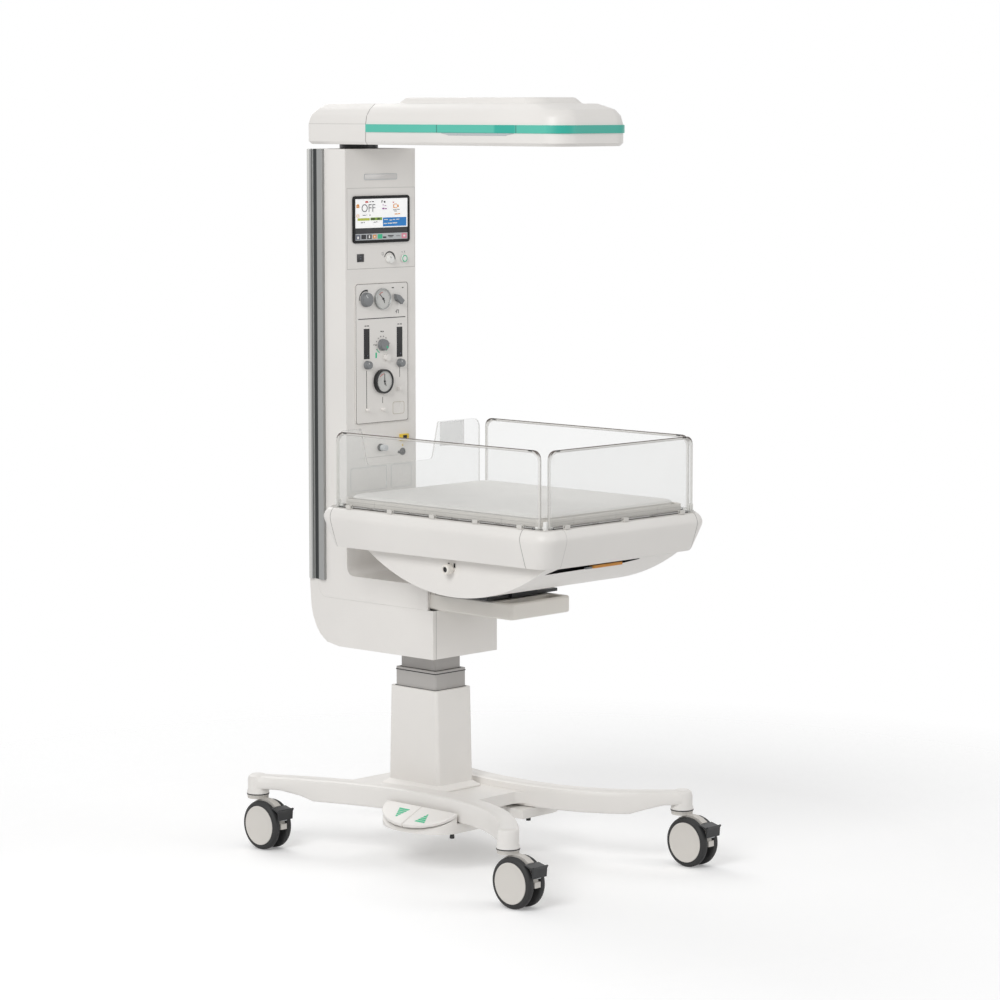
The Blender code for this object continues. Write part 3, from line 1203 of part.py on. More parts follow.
def bed_skirt(finish):
    bm = bmesh.new()
    add_loft(bm, [skirt_ring(SKIRT_BOTTOM, SKIRT_BOTTOM_HALF, 0.0), skirt_ring(SKIRT_WAIST, SKIRT_WAIST_HALF, 0.0),
                  skirt_ring(SKIRT_SHOULDER, SKIRT_SHOULDER_HALF, 0.0), skirt_ring(SKIRT_TOP, SKIRT_TOP_HALF, 0.0)])
    made = piece("bed_skirt", bm, "bed", finish)
    hollow = bmesh.new()
    add_loft(hollow, [skirt_ring(SKIRT_BOTTOM + SKIRT_WALL, SKIRT_BOTTOM_HALF, SKIRT_WALL),
                      skirt_ring(SKIRT_WAIST, SKIRT_WAIST_HALF, SKIRT_WALL),
                      skirt_ring(SKIRT_TOP - SKIRT_WALL, SKIRT_SHOULDER_HALF, SKIRT_WALL)])
    cut(made, hollow)
    mouth = bmesh.new()
    add_prism(mouth, rounded_box_outline(-WELL_HALF, WELL_HALF, WELL_FRONT_Y, WELL_REAR_Y, WELL_ROUND, 3),
              SKIRT_WAIST, SKIRT_TOP + OVERRUN)
    add_box(mouth, (-FLANGE_HALF, FLANGE_FRONT_Y, SKIRT_BOTTOM - OVERRUN),
            (FLANGE_HALF, FLANGE_REAR_Y, SKIRT_BOTTOM + OVERRUN))
    cut(made, mouth)


def mattress_tray(finish):
    low = SKIRT_BOTTOM + SKIRT_WALL + GAP
    bm = bmesh.new()
    add_prism(bm, rounded_box_outline(-TRAY_HALF, TRAY_HALF, TRAY_FRONT_Y, TRAY_REAR_Y, TRAY_ROUND, 4), low, TRAY_TOP)
    made = piece("mattress_tray", bm, "bed", finish)
    inside = TRAY_HALF - SKIRT_WALL
    hollow = bmesh.new()
    add_box(hollow, (-inside, TRAY_FRONT_Y + SKIRT_WALL, low - OVERRUN),
            (inside, TRAY_REAR_Y - SKIRT_WALL, TRAY_FLOOR - SKIRT_WALL))
    cut(made, hollow)
    recess = bmesh.new()
    half = TRAY_HALF - TRAY_RIM
    add_prism(recess, rounded_box_outline(-half, half, TRAY_FRONT_Y + TRAY_RIM, TRAY_REAR_Y - TRAY_RIM,
                                          TRAY_ROUND - TRAY_RIM, 4), TRAY_FLOOR, TRAY_TOP + OVERRUN)
    cut(made, recess)


def mattress(finish):
    # Cushion with drawn-in sides and a crown that rises from the edge to the middle.
    centre_y = (MATTRESS_FRONT_Y + MATTRESS_REAR_Y) / 2
    half_y = (MATTRESS_REAR_Y - MATTRESS_FRONT_Y) / 2
    low = TRAY_FLOOR + GAP
    rise = MATTRESS_EDGE_TOP - low

    def ring(inset, z):
        radius = max(MATTRESS_ROUND - inset, MATTRESS_DRAW)
        return [(x, y, z) for x, y in rounded_box_outline(
            -MATTRESS_HALF + inset, MATTRESS_HALF - inset, centre_y - half_y + inset,
            centre_y + half_y - inset, radius, 5)]

    side_shares = ((1.0, 0.0), (0.25, 0.18), (0.0, 0.45), (0.2, 0.72), (0.75, 0.93), (1.6, 1.0))
    rings = [ring(MATTRESS_DRAW * inset, low + rise * height) for inset, height in side_shares]
    crown_shares = (0.10, 0.22, 0.38, 0.60, 0.86)
    for share in crown_shares:
        level = MATTRESS_EDGE_TOP + MATTRESS_CROWN * (1 - (1 - share) ** 2)
        rings.append(ring(MATTRESS_DRAW * 1.6 + (MATTRESS_HALF - MATTRESS_ROUND) * share, level))
    bm = bmesh.new()
    add_loft(bm, rings)
    piece("mattress", bm, "bed", finish)


# Clear panels
def hinged_panel(name, sign_x, low, high, clip_shares, body_name, finish):
    # Built lying along X at Y = 0 with its hinge rod on the -Y side, then turned to its place.
    length = high - low
    corners = [(0.0, PANEL_BOTTOM, 0), (length, PANEL_BOTTOM, 0), (length, PANEL_TOP, PANEL_ROUND),
               (0.0, PANEL_TOP, PANEL_ROUND)]
    bm = bmesh.new()
    stand = Matrix.Rotation(radians(90), 4, "X")
    add_prism(bm, rounded(corners, 5), -PANEL_THICK / 2, PANEL_THICK / 2, stand)
    tabs = bmesh.new()
    for first, second in zip(clip_shares, clip_shares[1:]):
        middle = length * (first + second) / 2
        add_box(tabs, (middle - ARM_TAB_LENGTH / 2, -HINGE_OUT, HINGE_Z - ARM_TAB_HALF_HEIGHT),
                (middle + ARM_TAB_LENGTH / 2, 0.0, HINGE_Z + ARM_TAB_HALF_HEIGHT))
    hinge_rod = bmesh.new()
    reach = length / 2 - CLIP_LENGTH / 2
    rod(hinge_rod, ROD_RADIUS, -reach, reach, 8,
        Matrix.Translation((length / 2, -HINGE_OUT, HINGE_Z)) @ TO_SIDE)
    if sign_x:
        turn = Matrix.Rotation(radians(-90 if sign_x < 0 else 90), 4, "Z")
        start = high if sign_x < 0 else low
        place = Matrix.Translation((sign_x * SIDE_PANEL_X, start, 0.0)) @ turn
    else:
        place = Matrix.Translation((low, FOOT_PANEL_Y, 0.0))
    for shape in (bm, tabs, hinge_rod):
        bmesh.ops.transform(shape, matrix=place, verts=shape.verts)
    made = piece(name, bm, body_name, finish)
    join(made, tabs)
    join(made, hinge_rod)


def clip_outline():
    # Snap clip around the hinge rod, open at the top, centred on the rod.
    bore = ROD_RADIUS + ROD_GAP
    mouth = asin(CLIP_MOUTH_HALF / bore)
    low = SKIRT_TOP + GAP - HINGE_Z
    top = CLIP_TOP - HINGE_Z
    outline = [(-CLIP_HALF, low), (CLIP_HALF, low), (CLIP_HALF, top), (CLIP_MOUTH_HALF, top)]
    outline += arc((0.0, 0.0), bore, radians(90) - mouth, radians(-270) + mouth, 6)
    return outline + [(-CLIP_MOUTH_HALF, top), (-CLIP_HALF, top)]


def clip_frame(half_width):
    # Rounded frame that lies on the skirt's rim.
    side = SIDE_PANEL_X + HINGE_OUT + half_width
    return rounded_box_outline(-side, side, CLIP_FRAME_FRONT_Y - half_width, CLIP_FRAME_REAR_Y + half_width,
                               SKIRT_ROUND + half_width - CLIP_FRAME_HALF, 4)


def panel_clips(finish):
    # Frame on the rim that carries the hinge clips and the two holders of the head panel.
    low = SKIRT_TOP + GAP
    bm = bmesh.new()
    add_prism(bm, clip_frame(CLIP_FRAME_HALF), low, low + CLIP_FRAME_THICK)
    made = piece("panel_clips", bm, "bed", finish)
    inside = bmesh.new()
    add_prism(inside, clip_frame(-CLIP_FRAME_HALF), low - OVERRUN, low + OVERRUN)
    cut(made, inside)
    stand = Matrix.Rotation(radians(90), 4, "X")
    half = CLIP_LENGTH / 2
    side_length = SIDE_PANEL_REAR_Y - SIDE_PANEL_FRONT_Y
    clips = bmesh.new()
    for sign in (-1, 1):
        for share in SIDE_CLIP_SHARES:
            centre = (sign * (SIDE_PANEL_X + HINGE_OUT), SIDE_PANEL_FRONT_Y + side_length * share, HINGE_Z)
            add_prism(clips, clip_outline(), -half, half, Matrix.Translation(centre) @ stand)
    for share in FOOT_CLIP_SHARES:
        x = FOOT_PANEL_HALF * (2 * share - 1)
        place = Matrix.Translation((x, FOOT_PANEL_Y - HINGE_OUT, HINGE_Z)) @ Matrix.Rotation(radians(90), 4, "Z")
        add_prism(clips, clip_outline(), -half, half, place @ stand)
    join(made, clips)
    slot = PANEL_THICK / 2 + GAP
    outline = [(HOLDER_FRONT_Y, low), (HOLDER_REAR_Y, low), (HOLDER_REAR_Y, HOLDER_TOP),
               (HEAD_PANEL_Y + slot, HOLDER_TOP), (HEAD_PANEL_Y + slot, HEAD_PANEL_BOTTOM - GAP),
               (HEAD_PANEL_Y - slot, HEAD_PANEL_BOTTOM - GAP), (HEAD_PANEL_Y - slot, HOLDER_TOP),
               (HOLDER_FRONT_Y, HOLDER_TOP)]
    holders = bmesh.new()
    for sign in (-1, 1):
        add_prism(holders, outline, -HOLDER_HALF, HOLDER_HALF, across_place(sign * HOLDER_X))
    join(made, holders)


def head_panel(finish):
    # Upright panel with a dip in its top edge for tubes and leads.
    far = HEAD_DIP_FAR_X
    slant = HEAD_DIP_SLANT
    corners = [(-HEAD_PANEL_HALF, HEAD_PANEL_BOTTOM, 0), (HEAD_PANEL_HALF, HEAD_PANEL_BOTTOM, 0),
               (HEAD_PANEL_HALF, PANEL_TOP, PANEL_ROUND), (far + slant, PANEL_TOP, HEAD_DIP_ROUND / 3),
               (far, HEAD_DIP_Z, HEAD_DIP_ROUND), (HEAD_DIP_NEAR_X, HEAD_DIP_Z, HEAD_DIP_ROUND),
               (HEAD_DIP_NEAR_X - slant, PANEL_TOP, HEAD_DIP_ROUND / 3),
               (-HEAD_PANEL_HALF, PANEL_TOP, PANEL_ROUND)]
    bm = bmesh.new()
    stand = Matrix.Translation((0.0, HEAD_PANEL_Y, 0.0)) @ Matrix.Rotation(radians(90), 4, "X")
    add_prism(bm, rounded(corners, 4), -PANEL_THICK / 2, PANEL_THICK / 2, stand)
    piece("panel_head", bm, "panel_head_lift", finish)


def clear_panels(clear):
    for side, sign in SIDES:
        pivot = (sign * (SIDE_PANEL_X + HINGE_OUT), 0.0, HINGE_Z)
        body(f"panel_{side}_hinge", pivot, "bed")
        hinged_panel(f"panel_{side}", sign, SIDE_PANEL_FRONT_Y, SIDE_PANEL_REAR_Y, SIDE_CLIP_SHARES,
                     f"panel_{side}_hinge", clear)
    body("panel_foot_hinge", (0.0, FOOT_PANEL_Y - HINGE_OUT, HINGE_Z), "bed")
    hinged_panel("panel_foot", 0, -FOOT_PANEL_HALF, FOOT_PANEL_HALF, FOOT_CLIP_SHARES, "panel_foot_hinge", clear)
    body("panel_head_lift", (0.0, HEAD_PANEL_Y, HEAD_PANEL_BOTTOM), "bed")
    head_panel(clear)


SIDE_CLIP_SHARES = (0.08, 0.29, 0.50, 0.71, 0.92)
FOOT_CLIP_SHARES = (0.10, 0.50, 0.90)


# Display and column controls
def face_plate(name, half, low, high, thick, radius, front_y, finish, body_name="upper"):
    bm = bmesh.new()
    outline = rounded_box_outline(-half, half, low, high, radius, 4)
    add_prism(bm, outline, GAP, GAP + thick, front_place(0.0, front_y, 0.0))
    return piece(name, bm, body_name, finish)


def display(finish):
    made = face_plate("touch_display", BEZEL_HALF, BEZEL_BOTTOM, BEZEL_TOP, BEZEL_THICK, BEZEL_ROUND,
                      COLUMN_FRONT_Y, finish)
    half = BEZEL_HALF - BEZEL_RIM
    low = BEZEL_BOTTOM + BEZEL_RIM
    high = BEZEL_TOP - BEZEL_RIM
    floor = GAP + BEZEL_THICK - SCREEN_DEPTH
    window = bmesh.new()
    add_prism(window, [(-half, low), (half, low), (half, high), (-half, high)], floor, floor + OVERRUN,
              front_place(0.0, COLUMN_FRONT_Y, 0.0))
    cut(made, window)


def knob(name, x, z, radius, depth, seat_y, finish, segments=20, grip=0.12):
    # Round knob facing the foot end, with a slightly drawn-in root and a rounded face.
    bm = bmesh.new()
    profile = [(0.0, depth), (radius * (1 - grip), depth), (radius, depth * (1 - grip)),
               (radius, depth * 2 * grip), (radius * (1 - grip), GAP), (0.0, GAP)]
    add_turned(bm, profile, segments, front_place(x, seat_y, z))
    return piece(name, bm, name + "_turn", finish)


def control_body(name, x, z, seat_y):
    body(name + "_turn", (x, seat_y, z), "upper")


def column_controls(white, green):
    control_body("volume_knob", VOLUME_X, CONTROL_Z, COLUMN_FRONT_Y)
    knob("volume_knob", VOLUME_X, CONTROL_Z, VOLUME_RADIUS, VOLUME_DEPTH, COLUMN_FRONT_Y, white)
    body("power_button_travel", (POWER_X, COLUMN_FRONT_Y, CONTROL_Z), "upper")
    bm = bmesh.new()
    stand_off = GAP + POWER_TRAVEL
    add_turned(bm, [(0.0, POWER_DEPTH + stand_off), (POWER_RADIUS * 0.85, POWER_DEPTH + stand_off),
                    (POWER_RADIUS, POWER_DEPTH + stand_off - POWER_COLLAR), (POWER_RADIUS, stand_off),
                    (POWER_STEM_RADIUS, stand_off), (POWER_STEM_RADIUS, -POWER_STEM_LENGTH),
                    (0.0, -POWER_STEM_LENGTH)], 16, front_place(POWER_X, COLUMN_FRONT_Y, CONTROL_Z))
    piece("power_button", bm, "power_button_travel", green)


# Gas panel
def gas_panel(finish):
    made = face_plate("gas_panel", GAS_HALF, GAS_BOTTOM, GAS_TOP, GAS_THICK, GAS_ROUND, COLUMN_FRONT_Y, finish)
    face = COLUMN_FRONT_Y - GAP - GAS_THICK
    fittings = bmesh.new()
    tall = GAS_TOP - GAS_BOTTOM
    rod(fittings, OUTLET_RADIUS, -GAS_THICK / 2, OUTLET_DEPTH, 16,
        front_place(GAS_HALF * OUTLET_SHARE[0], face, GAS_BOTTOM + tall * OUTLET_SHARE[1]))
    for x_share, z_share in NOZZLE_SHARES:
        rod(fittings, NOZZLE_RADIUS, -GAS_THICK / 2, NOZZLE_DEPTH, 10,
            front_place(GAS_HALF * x_share, face, GAS_BOTTOM + tall * z_share))
    join(made, fittings)
    pad = bmesh.new()
    x = GAS_HALF * PAD_SHARE[0]
    z = GAS_BOTTOM + tall * PAD_SHARE[1]
    add_prism(pad, [(x - PAD_HALF, z - PAD_HALF), (x + PAD_HALF, z - PAD_HALF), (x + PAD_HALF, z + PAD_HALF),
                    (x - PAD_HALF, z + PAD_HALF)], -PAD_DEPTH, OVERRUN, front_place(0.0, face, 0.0))
    cut(made, pad)
    return face


OUTLET_SHARE = (0.156, 0.465)
NOZZLE_SHARES = ((-0.58, 0.10), (0.0, 0.095), (0.62, 0.235))
PAD_SHARE = (0.56, 0.10)


def gauge(name, z, radius, depth, face, finish):
    profile = [(0.0, depth - GAUGE_RECESS), (radius - GAUGE_BEZEL, depth - GAUGE_RECESS),
               (radius - GAUGE_BEZEL, depth), (radius - GAUGE_BEZEL / 3, depth), (radius, depth - GAUGE_BEZEL / 2),
               (radius, GAP), (0.0, GAP)]
    bm = bmesh.new()
    add_turned(bm, profile, 24, front_place(0.0, face, z))
    piece(name, bm, "upper", finish)


def gas_gauges(face, finish):
    gauge("suction_gauge", SUCTION_ROW_Z, SUCTION_GAUGE_RADIUS, SUCTION_GAUGE_DEPTH, face, finish)
    gauge("pressure_gauge", PRESSURE_GAUGE_Z, PRESSURE_GAUGE_RADIUS, PRESSURE_GAUGE_DEPTH, face, finish)


def gas_toggle(face, finish):
    control_body("gas_toggle", TOGGLE_X, SUCTION_ROW_Z, face)
    bm = bmesh.new()
    rod(bm, TOGGLE_DISC_RADIUS, GAP, TOGGLE_DISC_DEPTH, 16, front_place(TOGGLE_X, face, SUCTION_ROW_Z))
    made = piece("gas_toggle", bm, "gas_toggle_turn", finish)
    blade = bmesh.new()
    half = TOGGLE_LENGTH / 2
    outline = [(half, -TOGGLE_WIDTH / 2), (half, TOGGLE_WIDTH / 2), (-half + TOGGLE_POINT, TOGGLE_WIDTH / 2),
               (-half, 0.0), (-half + TOGGLE_POINT, -TOGGLE_WIDTH / 2)]
    add_prism(blade, outline, TOGGLE_DISC_DEPTH - GAP, TOGGLE_DEPTH,
              front_place(TOGGLE_X, face, SUCTION_ROW_Z) @ Matrix.Rotation(-TOGGLE_REST, 4, "Z"))
    join(made, blade)


def gas_controls(face, grey):
    control_body("suction_knob", SUCTION_KNOB_X, SUCTION_ROW_Z, face)
    knob("suction_knob", SUCTION_KNOB_X, SUCTION_ROW_Z, SUCTION_KNOB_RADIUS, SUCTION_KNOB_DEPTH, face, grey, 24)
    gas_toggle(face, grey)
    control_body("blender_knob", 0.0, BLENDER_Z, face)
    knob("blender_knob", 0.0, BLENDER_Z, BLENDER_RADIUS, BLENDER_DEPTH, face, grey, 24)
    for side, sign in SIDES:
        x = sign * TUBE_X + TUBE_SHIFT_X
        control_body(f"flow_knob_{side}", x, FLOW_KNOB_Z, face)
        knob(f"flow_knob_{side}", x, FLOW_KNOB_Z, FLOW_KNOB_RADIUS, FLOW_KNOB_DEPTH, face, grey)


# Canopy
def canopy_levels(inset):
    # (height, draw-in of the sides, draw-in of the front) from the lip up to the shoulder.
    low = CANOPY_BOTTOM - (OVERRUN if inset else 0.0)
    flat_draw = STRIPE_PROUD
    return [(low, LIP_DRAW + STRIPE_PROUD, LIP_DRAW + STRIPE_PROUD), (CANOPY_LIP, flat_draw * 2, flat_draw * 2),
            (STRIPE_BOTTOM, flat_draw, flat_draw), (STRIPE_TOP, flat_draw, flat_draw),
            (CANOPY_CHEEK - inset, CHEEK_DRAW + flat_draw, CHEEK_DRAW + flat_draw),
            (CANOPY_EDGE - inset, EDGE_DRAW, EDGE_DRAW),
            (CANOPY_SHOULDER - inset, SHOULDER_DRAW, SHOULDER_FRONT_DRAW)]


def canopy_ring(z, half, front_y, rear_y, front_round, rear_round):
    corners = [(-half, front_y, front_round), (half, front_y, front_round), (half, rear_y, rear_round),
               (-half, rear_y, rear_round)]
    return [(x, y, z) for x, y in rounded(corners, 5)]


def hood_rings(inset):
    rear = HOOD_SEAM_Y - GAP / 2 - inset
    rings = []
    for z, draw, front_draw in canopy_levels(inset):
        half = CANOPY_HALF - draw - inset
        rings.append(canopy_ring(z, half, HOOD_FRONT_Y + front_draw + inset, rear,
                                 max(CANOPY_ROUND - draw - inset, CANOPY_REAR_ROUND), CANOPY_SEAM_ROUND))
    step = CANOPY_SHOULDER + PLATEAU_STEP - inset
    rings.append(canopy_ring(step, PLATEAU_BASE_HALF - inset, PLATEAU_BASE_FRONT_Y + inset,
                             PLATEAU_BASE_REAR_Y - inset, PLATEAU_ROUND, PLATEAU_ROUND))
    rings.append(canopy_ring(PLATEAU_TOP - inset, PLATEAU_HALF - inset, PLATEAU_BASE_FRONT_Y + PLATEAU_RAMP + inset,
                             PLATEAU_BASE_REAR_Y - PLATEAU_RAMP - inset, PLATEAU_ROUND, PLATEAU_ROUND))
    return rings


def canopy_hood(finish):
    bm = bmesh.new()
    add_loft(bm, hood_rings(0.0))
    made = piece("canopy_hood", bm, "canopy", finish)
    hollow = bmesh.new()
    add_loft(hollow, hood_rings(CANOPY_WALL))
    cut(made, hollow)


def cap_rings(inset):
    front = HOOD_SEAM_Y + GAP / 2 + inset
    rings = []
    for z, draw, _ in canopy_levels(inset):
        half = CANOPY_HALF - draw - inset
        rear = CAP_REAR_Y - min(draw, EDGE_DRAW) - inset + STRIPE_PROUD
        rings.append(canopy_ring(z, half, front, rear, CANOPY_SEAM_ROUND, CANOPY_REAR_ROUND))
    return rings


def canopy_cap(finish):
    bm = bmesh.new()
    add_loft(bm, cap_rings(0.0))
    made = piece("canopy_cap", bm, "canopy", finish)
    hollow = bmesh.new()
    add_loft(hollow, cap_rings(CANOPY_WALL))
    cut(made, hollow)
    bore = PIVOT_SPINDLE_RADIUS + SHAFT_GAP
    hub = bmesh.new()
    high = CANOPY_SHOULDER - CANOPY_WALL / 2
    add_turned(hub, [(bore, CANOPY_BOTTOM), (bore + HUB_WALL, CANOPY_BOTTOM), (bore + HUB_WALL, high),
                     (0.0, high), (0.0, PIVOT_SPINDLE_TOP + RUNNING_GAP), (bore, PIVOT_SPINDLE_TOP + RUNNING_GAP)],
               20, Matrix.Translation((0.0, PIVOT_Y, 0.0)), closed=True)
    join(made, hub)


def canopy_pivot(finish):
    low = COLUMN_TOP - COVER_WALL - PLATE_THICK
    bm = bmesh.new()
    add_turned(bm, [(0.0, PIVOT_SPINDLE_TOP), (PIVOT_SPINDLE_RADIUS, PIVOT_SPINDLE_TOP),
                    (PIVOT_SPINDLE_RADIUS, CANOPY_BOTTOM - GAP), (PIVOT_RADIUS, CANOPY_BOTTOM - GAP),
                    (PIVOT_RADIUS, COLUMN_TOP + GAP), (PIVOT_SPINDLE_RADIUS, COLUMN_TOP + GAP),
                    (PIVOT_SPINDLE_RADIUS, low), (0.0, low)], 24, Matrix.Translation((0.0, PIVOT_Y, 0.0)))
    piece("canopy_pivot", bm, "upper", finish)


def stripe_path(half, front_y, rear_y, radius):
    corners = rounded([(-half, rear_y, 0), (-half, front_y, radius), (half, front_y, radius), (half, rear_y, 0)], 5)
    return corners


def canopy_stripe(finish):
    rear = HOOD_SEAM_Y - RUNNING_GAP
    outer = stripe_path(CANOPY_HALF, HOOD_FRONT_Y, rear, CANOPY_ROUND)
    inset = STRIPE_PROUD - GAP
    inner = stripe_path(CANOPY_HALF - inset, HOOD_FRONT_Y + inset, rear, CANOPY_ROUND - STRIPE_PROUD)
    bm = bmesh.new()
    add_prism(bm, outer + list(reversed(inner)), STRIPE_BOTTOM, STRIPE_TOP)
    piece("canopy_stripe", bm, "canopy", finish)


def heater_grille(finish):
    # Underside panel of the hood with a row of slots under the heating element.
    inset = CANOPY_WALL + GRILLE_INSET
    draw = LIP_DRAW + STRIPE_PROUD
    half = CANOPY_HALF - draw - inset
    low = CANOPY_BOTTOM + GAP
    bm = bmesh.new()
    ring = canopy_ring(low, half, HOOD_FRONT_Y + draw + inset, HOOD_SEAM_Y - inset - GAP,
                       CANOPY_ROUND - draw - inset, CANOPY_SEAM_ROUND)
    add_loft(bm, [ring, [(x, y, low + GRILLE_THICK) for x, y, _ in ring]])
    made = piece("heater_grille", bm, "canopy", finish)
    slots = bmesh.new()
    pitch = (GRILLE_REAR_Y - GRILLE_FRONT_Y) / GRILLE_SLOTS
    for i in range(GRILLE_SLOTS):
        y = GRILLE_FRONT_Y + pitch * i
        add_box(slots, (-GRILLE_HALF, y + GRILLE_BAR / 2, low - OVERRUN),
                (GRILLE_HALF, y + pitch - GRILLE_BAR / 2, low + GRILLE_THICK + OVERRUN))
    cut(made, slots)


def heater_element(finish):
    low = CANOPY_BOTTOM + GAP + GRILLE_THICK + GAP
    length = GRILLE_REAR_Y - GRILLE_FRONT_Y
    middle = (GRILLE_REAR_Y + GRILLE_FRONT_Y) / 2
    reach = length / 2 + ELEMENT_BRACKET_THICK
    half = ELEMENT_X + ELEMENT_RADIUS + ELEMENT_BRACKET_MARGIN
    bm = bmesh.new()
    for sign in (-1, 1):
        rod(bm, ELEMENT_RADIUS, -reach, reach, 12,
            Matrix.Translation((sign * ELEMENT_X, middle, ELEMENT_Z)) @ TO_FRONT)
    made = piece("heater_element", bm, "canopy", finish)
    brackets = bmesh.new()
    for y in (GRILLE_FRONT_Y - ELEMENT_BRACKET_THICK - GAP, GRILLE_REAR_Y + GAP):
        add_box(brackets, (-half, y, low),
                (half, y + ELEMENT_BRACKET_THICK, ELEMENT_Z + ELEMENT_RADIUS + ELEMENT_BRACKET_MARGIN))
    join(made, brackets)


def build():
    clear_scene()
    white = material("warm white plastic", (0.84, 0.82, 0.79), 0.35)
    enamel = material("off-white enamel", (0.80, 0.78, 0.74), 0.30)
    grey = material("mid grey plastic", (0.22, 0.23, 0.24), 0.45)
    light_grey = material("light grey plastic", (0.60, 0.58, 0.55), 0.45)
    black = material("black rubber", (0.02, 0.02, 0.02), 0.60)
    gloss_black = material("black gloss plastic", (0.01, 0.01, 0.01), 0.15)
    alloy = material("anodised aluminium", (0.62, 0.62, 0.61), 0.30, 1.0)
    steel = material("zinc-plated steel", (0.50, 0.50, 0.50), 0.40, 1.0)
    clear = material("clear acrylic", (0.95, 0.97, 0.97), 0.03, 0.0, 1.0)
    green = material("green plastic", (0.06, 0.50, 0.40), 0.35)
    orange = material("orange plastic", (0.72, 0.30, 0.05), 0.40)
    beige = material("beige plastic", (0.60, 0.57, 0.47), 0.45)
    cloth = material("mattress cover", (0.70, 0.69, 0.68), 0.60)
    ceramic = material("quartz tube", (0.75, 0.72, 0.68), 0.20)

    body("base", (0.0, 0.0, 0.0))
    base_frame(enamel)
    lift_cover(white)
    lift_actuator(steel)
    foot_switches(light_grey)
    casters(light_grey, black)
    lift_column(light_grey)
    chassis_frame(steel)
    lower_housing(white)
    column_casing(white)
    rear_cover(white)
    rear_grip(beige)
    for side, sign in SIDES:
        accessory_rail(side, sign, alloy)
    bed_arm(white)
    cradle_plate(black)
    display(gloss_black)
    column_controls(white, green)
    face = gas_panel(white)
    gas_gauges(face, black)
    gas_controls(face, grey)
    canopy_pivot(black)
    body("canopy", (0.0, PIVOT_Y, CANOPY_BOTTOM), "upper")
    canopy_cap(white)
    canopy_hood(white)
    canopy_stripe(green)
    heater_grille(white)
    heater_element(ceramic)
    body("bed", (0.0, TILT_Y, TILT_Z), "upper")
    belly_tub(white)
    bed_skirt(white)
    mattress_tray(white)
    mattress(cloth)
    body("tilt_lever_pivot", (LEVER_HIGH_X - LEVER_EYE_RADIUS, LEVER_EYE_Y, SLOT_Z), "bed")
    tilt_lever(orange)
    body("side_lock", (-BELLY_HALF, SIDE_KNOB_Y, SIDE_KNOB_Z), "bed")
    side_lock_knob(light_grey)
    panel_clips(light_grey)
    clear_panels(clear)


build()
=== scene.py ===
import json
import math
from math import pi, radians, sqrt

import bmesh
import bpy
from mathutils import Matrix, Vector
from mathutils.bvhtree import BVHTree

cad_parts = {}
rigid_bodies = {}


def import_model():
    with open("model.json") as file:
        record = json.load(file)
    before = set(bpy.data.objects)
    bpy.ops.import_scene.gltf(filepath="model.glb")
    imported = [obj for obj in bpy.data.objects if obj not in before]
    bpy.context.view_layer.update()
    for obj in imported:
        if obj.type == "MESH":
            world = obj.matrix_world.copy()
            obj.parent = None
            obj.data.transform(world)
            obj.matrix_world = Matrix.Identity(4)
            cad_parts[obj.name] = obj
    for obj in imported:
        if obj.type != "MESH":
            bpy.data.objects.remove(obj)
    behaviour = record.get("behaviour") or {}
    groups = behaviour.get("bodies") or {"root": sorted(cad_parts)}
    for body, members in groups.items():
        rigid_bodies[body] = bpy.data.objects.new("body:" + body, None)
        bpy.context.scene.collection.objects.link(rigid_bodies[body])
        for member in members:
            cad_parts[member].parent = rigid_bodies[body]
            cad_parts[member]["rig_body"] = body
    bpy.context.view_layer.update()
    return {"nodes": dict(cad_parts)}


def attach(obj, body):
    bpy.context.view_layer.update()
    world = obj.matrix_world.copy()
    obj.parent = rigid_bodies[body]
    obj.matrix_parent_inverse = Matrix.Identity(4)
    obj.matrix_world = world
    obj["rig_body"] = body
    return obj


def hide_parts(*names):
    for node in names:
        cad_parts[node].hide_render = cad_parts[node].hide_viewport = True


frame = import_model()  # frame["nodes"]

# Heights are above the floor. Lengths along y are from the lift column's axis, liftY in the row frame.
liftY = 0.1505
smoothAngle = radians(38)
curvedAngle = radians(50)       # for shells whose section is a chain of short faces
sides = (("left", -1), ("right", 1))
toFront = Matrix.Rotation(radians(90), 4, "X")
toSide = Matrix.Rotation(radians(90), 4, "Y")


# Shader maths

class Value:
    # A socket of a material that can be added, multiplied and so on.
    def __init__(self, paint, socket):
        self.paint, self.socket = paint, socket

    def __add__(self, other):
        return self.paint.maths("ADD", self, other)

    def __sub__(self, other):
        return self.paint.maths("SUBTRACT", self, other)

    def __rsub__(self, other):
        return self.paint.maths("SUBTRACT", other, self)

    def __mul__(self, other):
        return self.paint.maths("MULTIPLY", self, other)

    def __truediv__(self, other):
        return self.paint.maths("DIVIDE", self, other)

    def __abs__(self):
        return self.paint.maths("ABSOLUTE", self)


